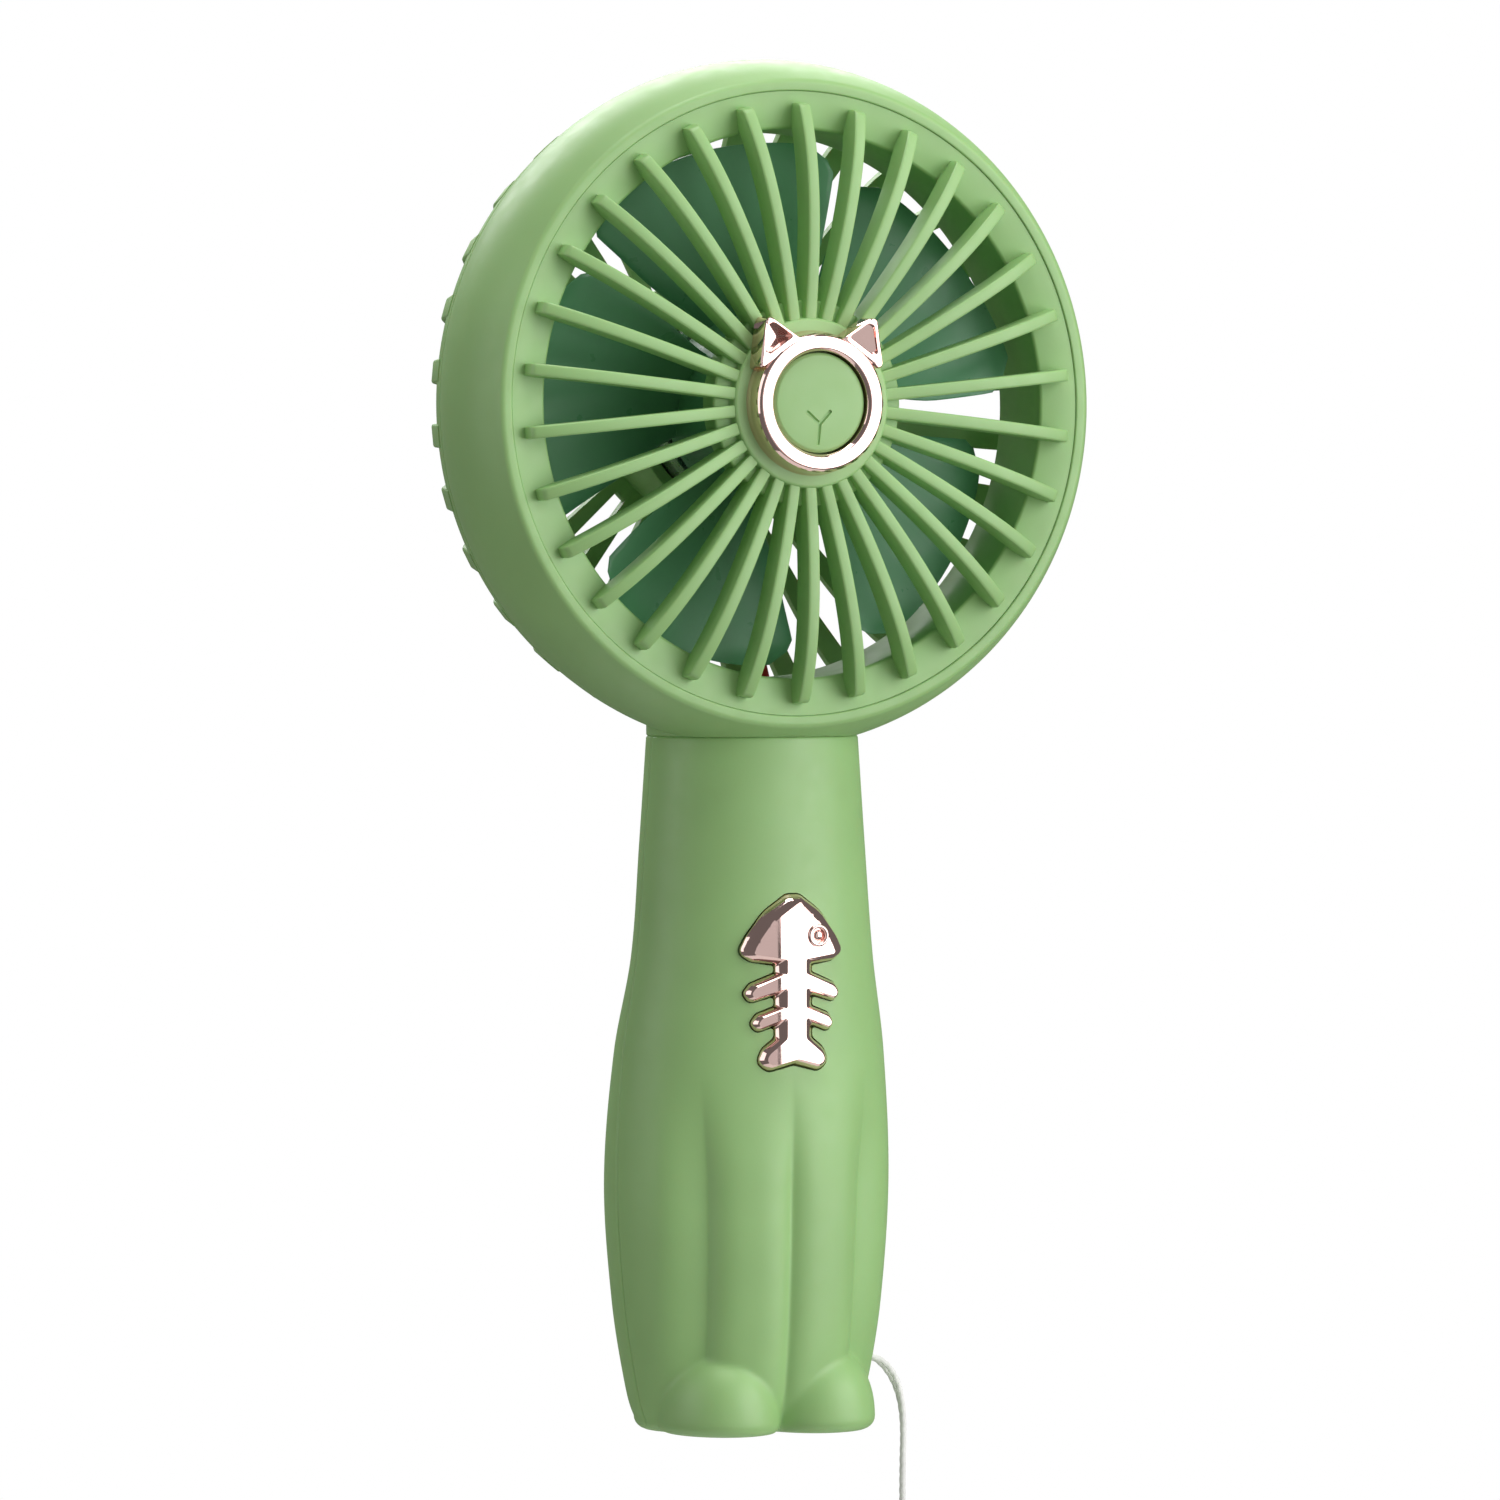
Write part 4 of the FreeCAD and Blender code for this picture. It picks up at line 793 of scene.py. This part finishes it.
# Each handle screw's sideways place, level, y of its seat and length; the radii of the boss, the
# sink for the head and the hole. Motor screws: sideways place and the y of their seat.
HANDLE_SCREWS = ((-10.2, -37.0, 5.5, 9.5), (10.2, -37.0, 5.5, 9.5), (0.0, 38.8, 9.3, 8.0))
SCREW_BOSS, SCREW_SINK, SCREW_HOLE = 2.8, 2.2, 1.1
MOTOR_SCREW_X, REAR_FACE = 8.0, 16.5
STRAP_SLOT, STRAP_SLOT_HALF, STRAP_SLOT_ROUND = (3.6, STRAP_HOLE[2]), (1.7, 0.8), 0.75


def make_handle_rear():
    piece = mesh_piece("handle_rear_shell", *handle_half(1, 120), sharp=HANDLE_EDGE)
    for x, level, seat, _ in HANDLE_SCREWS:
        if x:
            boss = tool(rod((x, 0.4, level), SCREW_BOSS, 15.0))
            boolean(boss, tool(handle_half(1, 60, hollow=False)), "INTERSECT")
            boolean(piece, boss, "UNION")
        cut(piece, rod((x, seat, level), SCREW_SINK, 12.0))
        cut(piece, rod((x, -1.0, level), SCREW_HOLE, seat + 1.5))
    slot = oblong(STRAP_SLOT, STRAP_SLOT_HALF, STRAP_SLOT_ROUND)
    points, faces = stacked([(slot, 12.7), (slot, 22.0)])
    cut(piece, ([(y, x, z) for x, y, z in points], faces))
    place(piece, "root", "green_plastic", "handle_rear")


# ---- fish button

# Right half of the fish: x, z, corner radius, and the bevel's width on the edge that follows.
FISH_RIGHT = [(0.9, 24.05, 1.6, 1.5), (3.9, 21.9, 6.0, 1.5), (6.1, 18.9, 6.0, 1.5),
              (7.15, 16.8, 1.1, 0.9), (5.6, 15.75, 1.6, 0.9), (2.55, 15.3, 0.3, 1.3),
              (2.55, 14.35, 0.35, 0.6), (5.7, 13.05, 1.1, 0.6), (6.6, 11.85, 0.8, 0.6),
              (5.8, 10.6, 0.9, 0.6), (2.55, 11.5, 0.3, 1.3), (2.55, 10.2, 0.35, 0.6),
              (4.9, 9.3, 1.1, 0.6), (5.75, 8.1, 0.8, 0.6), (4.9, 6.95, 0.9, 0.6),
              (2.55, 7.75, 0.3, 1.3), (2.55, 6.3, 0.8, 0.9), (4.2, 5.0, 2.0, 0.8),
              (4.95, 3.2, 1.2, 0.8), (3.4, 2.1, 1.3, 0.8)]
# The bevel on the top edge, and the notch of the tail.
FISH_TOP_BEVEL, FISH_NOTCH = 1.5, (0.0, 2.95, 1.2, 0.7)


def mirrored(half, first_bevel):
    """The left half of an outline from its right half, with the bevels on the same edges."""
    bevels = [first_bevel] + [corner[3] for corner in half[:-1]]
    return [(-x, z, radius, bevel)
            for (x, z, radius, _), bevel in zip(reversed(half), reversed(bevels))]


FISH = FISH_RIGHT + [FISH_NOTCH] + mirrored(FISH_RIGHT, FISH_TOP_BEVEL)
FISH_FRONT, FISH_SIDE, FISH_BACK, FISH_CROWN = -13.4, -11.9, -11.2, 26.0
FISH_CUT, FISH_CUTS = 0.44, 15
BEVEL_STEEP, BEVEL_SHALLOW, BEVEL_STEPS = radians(80.0), radians(27.0), 8
EYE, EYE_RADIUS, EYE_THICK = (2.9, 18.9), 1.14, 0.26


def pillow_profile():
    """(share of the bevel's width, y) down a bevel that is steep outside and shallow inside."""
    profile = [(0.0, FISH_BACK)]
    for step in range(BEVEL_STEPS + 1):
        tilt = BEVEL_STEEP + (BEVEL_SHALLOW - BEVEL_STEEP) * step / BEVEL_STEPS
        share = ((sin(BEVEL_STEEP) - sin(tilt))
                 / (sin(BEVEL_STEEP) - sin(BEVEL_SHALLOW)))
        rise = ((cos(tilt) - cos(BEVEL_STEEP))
                / (cos(BEVEL_SHALLOW) - cos(BEVEL_STEEP)))
        profile.append((share, FISH_SIDE + (FISH_FRONT - FISH_SIDE) * rise))
    return profile


def make_fish():
    base = [corner[:3] for corner in FISH]
    levels = [(rounded(inset(base, [corner[3] * share for corner in FISH]), 8), y)
              for share, y in pillow_profile()]
    fish = mesh_piece("fish_plate", *stacked(levels), sharp=21.0)
    shape = bmesh.new()
    shape.from_mesh(fish.data)
    # Cuts across the plate let its face bend, so that it is crowned from side to side.
    for step in range(-FISH_CUTS, FISH_CUTS + 1):
        bmesh.ops.bisect_plane(shape, geom=shape.verts[:] + shape.edges[:] + shape.faces[:],
                               dist=1e-7, plane_co=(step * FISH_CUT * MM, 0, 0),
                               plane_no=(1, 0, 0))
    for vertex in shape.verts:
        share = min(1.0, max(0.0, (vertex.co.y / MM - FISH_BACK) / (FISH_FRONT - FISH_BACK)))
        x = vertex.co.x / MM
        vertex.co.y += share * x * x / (2.0 * FISH_CROWN) * MM
    shape.to_mesh(fish.data)
    shape.free()
    shade(fish)
    front = FISH_FRONT + EYE[0] ** 2 / (2.0 * FISH_CROWN)
    rim = [(EYE_RADIUS + EYE_THICK * cos(TURN * step / 16),
            front - 0.16 + EYE_THICK * sin(TURN * step / 16)) for step in range(16)]
    pupil = [(0.0, front + 0.3), (0.7, front + 0.3), (0.7, front + 0.02),
             (0.6, front - 0.16), (0.36, front - 0.28), (0.0, front - 0.33)]
    middle = (EYE[0], 0.0, EYE[1])
    eye = mesh_piece("fish_eye", *merge(turned(rim, 48, middle), turned(pupil, 48, middle)))
    stem = mesh_piece("fish_stem", *rod((STEM[0], FISH_BACK - 0.5, STEM[1]),
                                        STEM_RADIUS, 4.05, soft=0.2))
    for part in (fish, eye, stem):
        place(part, "button", "rose_gold", "fish_button")


# ---- hub ring and disc

RING_FRONT, DISC_FRONT, HUB_FRONT = -20.5, -20.0, -17.6
RING_HOLE, DISC_RADIUS = 6.35, 6.15
# An ear's corners about the head's axis, the width of its border along each edge, and the slope
# of the triangle inside the border.
EAR = [(2.6, 7.75, 0.3), (7.55, 10.95, 0.75), (8.5, 3.7, 0.5)]
EAR_BORDER = (0.34, 0.55, 1.0)
EAR_SLOPE = 0.364
# The cat's mouth in the disc: three strokes, and a groove's half width at each y from the face.
MOUTH = (((-0.1, -2.6), (-1.7, -1.2)), ((-0.1, -2.6), (1.3, -1.1)), ((-0.1, -2.6), (-0.3, -5.0)))
MOUTH_CUT = ((0.1, 0.32), (0.16, 0.27), (0.3, -0.13), (0.3, -0.8))


def ear_floor(x, _):
    """The y of the triangle inside an ear's border, deeper towards the head's axis."""
    return RING_FRONT + 0.4 + EAR_SLOPE * (EAR[1][0] - abs(x))


# An ear from back to front: share of its border, and y.
EAR_LEVELS = ((-0.15, HUB_FRONT + 0.1), (0.0, -18.6), (0.0, RING_FRONT + 0.45),
              (0.12, RING_FRONT + 0.2), (0.35, RING_FRONT + 0.12), (0.9, RING_FRONT + 0.12),
              (1.0, RING_FRONT + 0.2), (1.1, ear_floor))


def make_cat_ring():
    band = rounded([(RING_HOLE, HUB_FRONT + 0.1), (RING_HOLE, RING_FRONT + 0.4, 0.1),
                    (6.7, RING_FRONT, 0.25), (8.15, RING_FRONT, 0.35),
                    (8.55, RING_FRONT + 0.5, 0.3), (8.7, -18.3, 0.5), (8.95, HUB_FRONT + 0.1)])
    parts = [turned(band, 160)]
    for sign in (1.0, -1.0):
        ear = [(sign * x, z, radius) for x, z, radius in EAR]
        levels = []
        for share, y in EAR_LEVELS:
            corners = inset(ear, [border * share for border in EAR_BORDER])
            levels.append(([(u, v + HEAD) for u, v in rounded(corners, 5)], y))
        parts.append(stacked(levels))
    ring = mesh_piece("cat_ring_plated", *merge(*parts), sharp=25.0)
    place(ring, "root", "rose_gold", "cat_ring")


def stroke(start, end, half):
    """A round-ended stroke as an outline about the head's axis."""
    begin, finish = Vector(start), Vector(end)
    way = (finish - begin).normalized()
    turn = atan2(way.y, way.x)
    ends = [(finish, -90), (begin, 90)]
    return [(spot.x + half * cos(turn + radians(first + 180 * step / 8)),
             HEAD + spot.y + half * sin(turn + radians(first + 180 * step / 8)))
            for spot, first in ends for step in range(9)]


def make_disc():
    rim = rounded([(0.0, DISC_FRONT), (2.5, DISC_FRONT + 0.02), (4.4, DISC_FRONT + 0.07),
                   (5.8, DISC_FRONT + 0.17, 0.4), (DISC_RADIUS, DISC_FRONT + 0.5, 0.3),
                   (DISC_RADIUS, HUB_FRONT + 0.05), (0.0, HUB_FRONT + 0.05)])
    disc = mesh_piece("cap_disc_face", *turned(rim, 96))
    for start, end in MOUTH:
        cut(disc, stacked([(stroke(start, end, half), DISC_FRONT + y) for half, y in MOUTH_CUT]))
    place(disc, "root", "green_plastic", "cap_disc")


# ---- head shell

# The rear cover's outside as (radius, y), and the neck's half width, half depth and set-back.
COVER_PROFILE = [(41.3, 3.0), (40.1, 7.0), (37.2, 11.5), (30.0, 14.5), (13.9, 16.5)]
NECK = (13.6, 11.2, -0.3)
COVER_GAP = 0.15


def oval_outline(half_width, half_depth, back, steps=96):
    """An oval about a middle that is set back."""
    return [(half_width * cos(TURN * step / steps),
             back + half_depth * sin(TURN * step / steps)) for step in range(steps)]


def oval_bar(grow, low, high, soft=0.0):
    """An upright bar with the neck's oval, grown or shrunk, softened at its low edge."""
    width, depth, back = NECK
    layers = [(oval_outline(width + grow - soft, depth + grow - soft, back), low),
              (oval_outline(width + grow, depth + grow, back), low + soft),
              (oval_outline(width + grow, depth + grow, back), high)]
    return stacked(layers, upright=True)


def make_head_shell():
    side = arc((40.3, -13.0), (41.9, 0.35), 15.5, 16)
    lip = rounded([(36.6, -10.9), (36.6, -12.0), (38.45, -12.0), (38.45, -13.9, 0.22),
                   (39.8, -13.9, 0.95)] + side[:1], 6)
    profile = lip[:-1] + side + [(41.75, 0.5), (39.9, 0.5), (40.6, -4.0), (39.9, -8.6),
                                 (38.9, -10.9)]
    shell = mesh_piece("head_barrel", *turned(profile, 240))
    box = [(-60.0, -60.0), (60.0, -60.0), (60.0, 60.0), (-60.0, 60.0)]
    cut(shell, stacked([(box, 20.0), (box, SEAM)], upright=True))
    boolean(shell, tool(oval_bar(0.0, SEAM, SEAM + 5.0, 0.18)), "UNION")
    inside = [(0.0, -10.9), (38.9, -10.9), (39.9, -8.6), (40.6, -4.0), (39.9, 0.48),
              (42.05, 0.52)]
    inside += [(radius + COVER_GAP, y + COVER_GAP) for radius, y in COVER_PROFILE]
    inside.append((0.0, 16.65))
    cut(shell, turned(inside, 240))
    cut(shell, oval_bar(-3.5, SEAM - 3.0, SEAM + 8.0))
    place(shell, "root", "green_plastic", "head_shell")


# ---- ribs and grilles

def bar(outer, inner, halves, soft):
    """A rib that lies in a plane through the head's axis, with its outer edges rounded."""
    points = []
    for (radius, y), (deep_radius, deep_y), half in zip(outer, inner, halves):
        way = Vector((deep_radius - radius, deep_y - y))
        deep = way.length
        way.normalize()
        curve = min(soft, half * 0.9, deep * 0.45)
        right = [(half - curve * (1 - cos(turn)), curve * (1 - sin(turn)))
                 for turn in (pi / 2, pi / 3, pi / 6, 0.0)] + [(half, deep)]
        section = [(-side, down) for side, down in reversed(right)] + right
        points += [(side, radius + way.x * down, y + way.y * down) for side, down in section]
    count = len(points) // len(outer)
    faces = skin(len(outer), count)
    last = (len(outer) - 1) * count
    faces += [tuple(range(count)), tuple(reversed(range(last, last + count)))]
    return points, faces


def spread(section, count, start=0.0):
    """Copies of a bar about the head's axis; its own (side, radius, y) turn into place."""
    points, faces = section
    copies = []
    for index in range(count):
        angle = TURN * (index + start) / count
        cosine, sine = cos(angle), sin(angle)
        copies.append(([(side * cosine + radius * sine, y, HEAD + radius * cosine - side * sine)
                        for side, radius, y in points], faces))
    return merge(*copies)


RIBS, SLOTS = 30, 32
# The line of a rib's front edge is a curve pulled towards its middle point: radius, y.
RIB_LINE = ((10.2, -17.35), (27.0, -20.1), (36.25, -15.75))
RIB_HALF, RIB_DEEP, RIB_FOOT = 0.76, 3.4, -12.4
# How the end of a rib rounds down to the ring: outwards, down and half width.
RIB_END = ((0.28, 0.16, 0.76), (0.5, 0.5, 0.72), (0.6, 0.95, 0.68), (0.66, 2.3, 0.66))


def rib_front(share):
    """Radius and y of a front rib's edge, from the hub outwards."""
    start, pull, end = [Vector(spot) for spot in RIB_LINE]
    return start * (1 - share) ** 2 + pull * 2 * share * (1 - share) + end * share ** 2


def make_front_grille():
    funnel = rounded([(33.8, -12.95, 0.5), (38.42, -13.7, 0.04), (38.42, -12.0), (34.9, -12.0),
                      (34.9, -1.7, 0.3), (33.8, -1.7, 0.3)])
    hub = rounded([(0.0, HUB_FRONT), (10.4, HUB_FRONT, 0.4), (10.55, -16.3, 0.25),
                   (12.7, -16.2, 0.35), (12.7, -13.0, 0.2), (10.5, -13.0), (10.5, -15.4),
                   (0.0, -15.4)])
    grille = mesh_piece("front_grille_frame", *merge(turned(funnel, 240), turned(hub, 120)),
                        sharp=30.0)
    outer = [rib_front(step / 24.0) for step in range(25)]
    inner = [(radius, min(front + RIB_DEEP, RIB_FOOT)) for radius, front in outer]
    halves = [RIB_HALF] * len(outer)
    for out, drop, half in RIB_END:
        outer.append((RIB_LINE[2][0] + out, RIB_LINE[2][1] + drop))
        inner.append((RIB_LINE[2][0] + out - 0.02, RIB_FOOT))
        halves.append(half)
    ribs = mesh_piece("ribs", *spread(bar(outer, inner, halves, 0.28), RIBS))
    boolean(grille, ribs, "UNION")
    place(grille, "root", "green_plastic", "front_grille")


# The rear bars' thickness, and the half width of a slot: its growth with the radius, less a start.
BAR_THICK, SLOT_GROWTH, SLOT_START = 1.6, 0.0691, 0.291


def make_rear_cover():
    rim = rounded([(38.5, -2.0, 0.2), (39.7, -2.0, 0.3), (39.7, 0.5), (41.75, 0.5, 0.1),
                   (41.9, 0.65, 0.1), (41.25, 3.2, 0.3), (40.9, 3.6, 0.3), (38.5, 3.6, 0.2)])
    hub = rounded([(0.0, 16.5), (13.9, 16.5, 1.2), (15.9, 16.15, 0.4), (15.9, 14.6, 0.3),
                   (13.9, 14.6), (13.9, 5.0, 0.2), (12.35, 5.0, 0.2), (12.35, 15.0),
                   (0.0, 15.0)])
    cover = mesh_piece("rear_cover_frame", *merge(turned(rim, 240), turned(hub, 120)), sharp=30.0)
    path = rounded([(41.7, 1.9), (40.4, 7.0, 4.0), (37.4, 11.5, 7.0), (30.0, 14.5, 16.0),
                    (13.0, 16.45)], 6)
    outer, inner, halves = [], [], []
    for index, spot in enumerate(path):
        ahead = Vector(path[min(index + 1, len(path) - 1)]) - Vector(path[max(index - 1, 0)])
        ahead.normalize()
        outer.append(spot)
        inner.append((spot[0] - abs(ahead.y) * BAR_THICK, spot[1] - abs(ahead.x) * BAR_THICK))
        halves.append(pi * spot[0] / SLOTS - (SLOT_GROWTH * spot[0] - SLOT_START))
    ribs = mesh_piece("ribs", *spread(bar(outer, inner, halves, 0.35), SLOTS, 0.5))
    boolean(cover, ribs, "UNION")
    cut(cover, oval_bar(COVER_GAP, 30.0, 52.5))
    for x in (-MOTOR_SCREW_X, MOTOR_SCREW_X):
        cut(cover, rod((x, 14.0, HEAD), 0.9, 4.0))
    place(cover, "root", "green_plastic", "rear_cover")


# ---- impeller

BLADES, BLADE_PHASE = 5, 0.58
# Radii of the blade tips, cup, shaft and boss, and the cup's wall.
TIP, CUP, CUP_WALL, SHAFT, BOSS = 32.4, 11.6, 1.3, 1.0, 3.0
# Along Y: the cup's two ends, the middle of a blade, and half a blade's rise.
CUP_FRONT, CUP_REAR, BLADE_MIDDLE, BLADE_RISE = -11.8, 0.4, -4.45, 3.55
# Half of a blade's sweep at the hub, what it gains outwards and what its rounded tip loses, and
# how far the tip leans round.
SWEEP, SWEEP_GAIN, TIP_ROUND, BLADE_LEAN = [radians(angle) for angle in (26.0, 4.5, 7.0, 4.0)]
TIP_START, BLADE_ROOT_BITE = 0.86, 0.7


def blade(angle):
    """A broad twisted blade with rounded edges, round the head's axis at an angle."""
    rings, along = 16, 20
    points = []
    for ring in range(rings + 1):
        part = ring / rings
        root = CUP - BLADE_ROOT_BITE
        radius = root + part * (TIP - root)
        sweep = SWEEP + SWEEP_GAIN * smooth(part, 0.0, 0.5)
        sweep -= TIP_ROUND * max(0.0, (part - TIP_START) / (1.0 - TIP_START)) ** 2
        lean = BLADE_LEAN * part
        half = 0.62 - 0.22 * part
        section = []
        for index in range(2 * along):
            turn = TURN * index / (2 * along)
            reach = cos(turn)
            side = copysign((1.0 - reach ** 8) ** 0.5, sin(turn)) * half
            y = BLADE_MIDDLE + BLADE_RISE * (0.9 * reach + 0.1 * reach ** 3)
            y += 0.8 * (1.0 - reach * reach) + side
            section.append((reach * sweep + lean, y))
        points += [(radius * cos(angle + a), y, HEAD + radius * sin(angle + a))
                   for a, y in section]
    count = 2 * along
    faces = skin(rings + 1, count)
    for ring in (0, rings):
        base = ring * count
        faces += [(base + spot, base + spot + 1, base + count - spot - 1,
                   base + (count - spot) % count) for spot in range(along)]
    return points, faces


def make_impeller():
    cup = rounded([(SHAFT, CUP_FRONT, 0.15), (CUP, CUP_FRONT, 1.4), (CUP, CUP_REAR, 0.3),
                   (CUP - CUP_WALL, CUP_REAR, 0.3), (CUP - CUP_WALL, CUP_FRONT + CUP_WALL, 0.4),
                   (BOSS, CUP_FRONT + CUP_WALL, 0.3), (BOSS, CUP_FRONT + 5.0, 0.2),
                   (SHAFT, CUP_FRONT + 5.0)])
    wheel = mesh_piece("impeller_wheel", *turned(cup, 120), sharp=30.0)
    blades = merge(*[blade(-TURN * (index + BLADE_PHASE) / BLADES) for index in range(BLADES)])
    boolean(wheel, tool(blades), "UNION")
    place(wheel, "rotor", "impeller_plastic", "impeller")


# ---- screws

def screw(name, centre, head_radius, head_tall, shank_radius, shank_long):
    """A pan-head screw, driven from the rear, with a cross recess and a rolled thread."""
    x, y, z = centre
    axis = (x, 0.0, z)
    head = rounded([(0.0, y - 0.1), (head_radius, y, 0.1), (head_radius, y + head_tall, 0.45),
                    (0.0, y + head_tall + 0.12)], 6)
    piece = mesh_piece(name, *turned(head, 48, axis))
    for turn in (0.4, 0.4 + pi / 2.0):
        start = Vector((cos(turn), sin(turn))) * head_radius * 0.55
        low, high = [[(x + u, z + v - HEAD) for u, v in stroke(-start, start, half)]
                     for half in (0.12, 0.2)]
        cut(piece, stacked([(low, y + head_tall * 0.35), (high, y + head_tall + 0.4)]))
    pitch = 0.45
    thread = [(0.0, y), (shank_radius * 0.8, y)]
    for index in range(int(shank_long / pitch)):
        level = y - 0.1 - index * pitch
        thread += [(shank_radius * 0.8, level), (shank_radius, level - pitch * 0.4),
                   (shank_radius, level - pitch * 0.55)]
    thread += [(shank_radius * 0.8, y - shank_long + 0.15), (0.0, y - shank_long)]
    shank = mesh_piece(name + "_shank", *turned(thread, 32, axis))
    return [piece, shank]


def make_screws():
    for x in (-MOTOR_SCREW_X, MOTOR_SCREW_X):
        for part in screw("motor_screw", (x, REAR_FACE, HEAD), 1.6, 0.9, 0.8, 3.4):
            place(part, "root", "steel", "motor_screws")
    for x, level, seat, long in HANDLE_SCREWS:
        for part in screw("handle_screw", (x, seat, level), 1.9, 1.2, 0.95, long):
            place(part, "root", "steel", "handle_screws")


for make in (make_handle_front, make_handle_rear, make_fish, make_cat_ring, make_disc,
             make_head_shell, make_front_grille, make_rear_cover, make_impeller, make_screws):
    make()
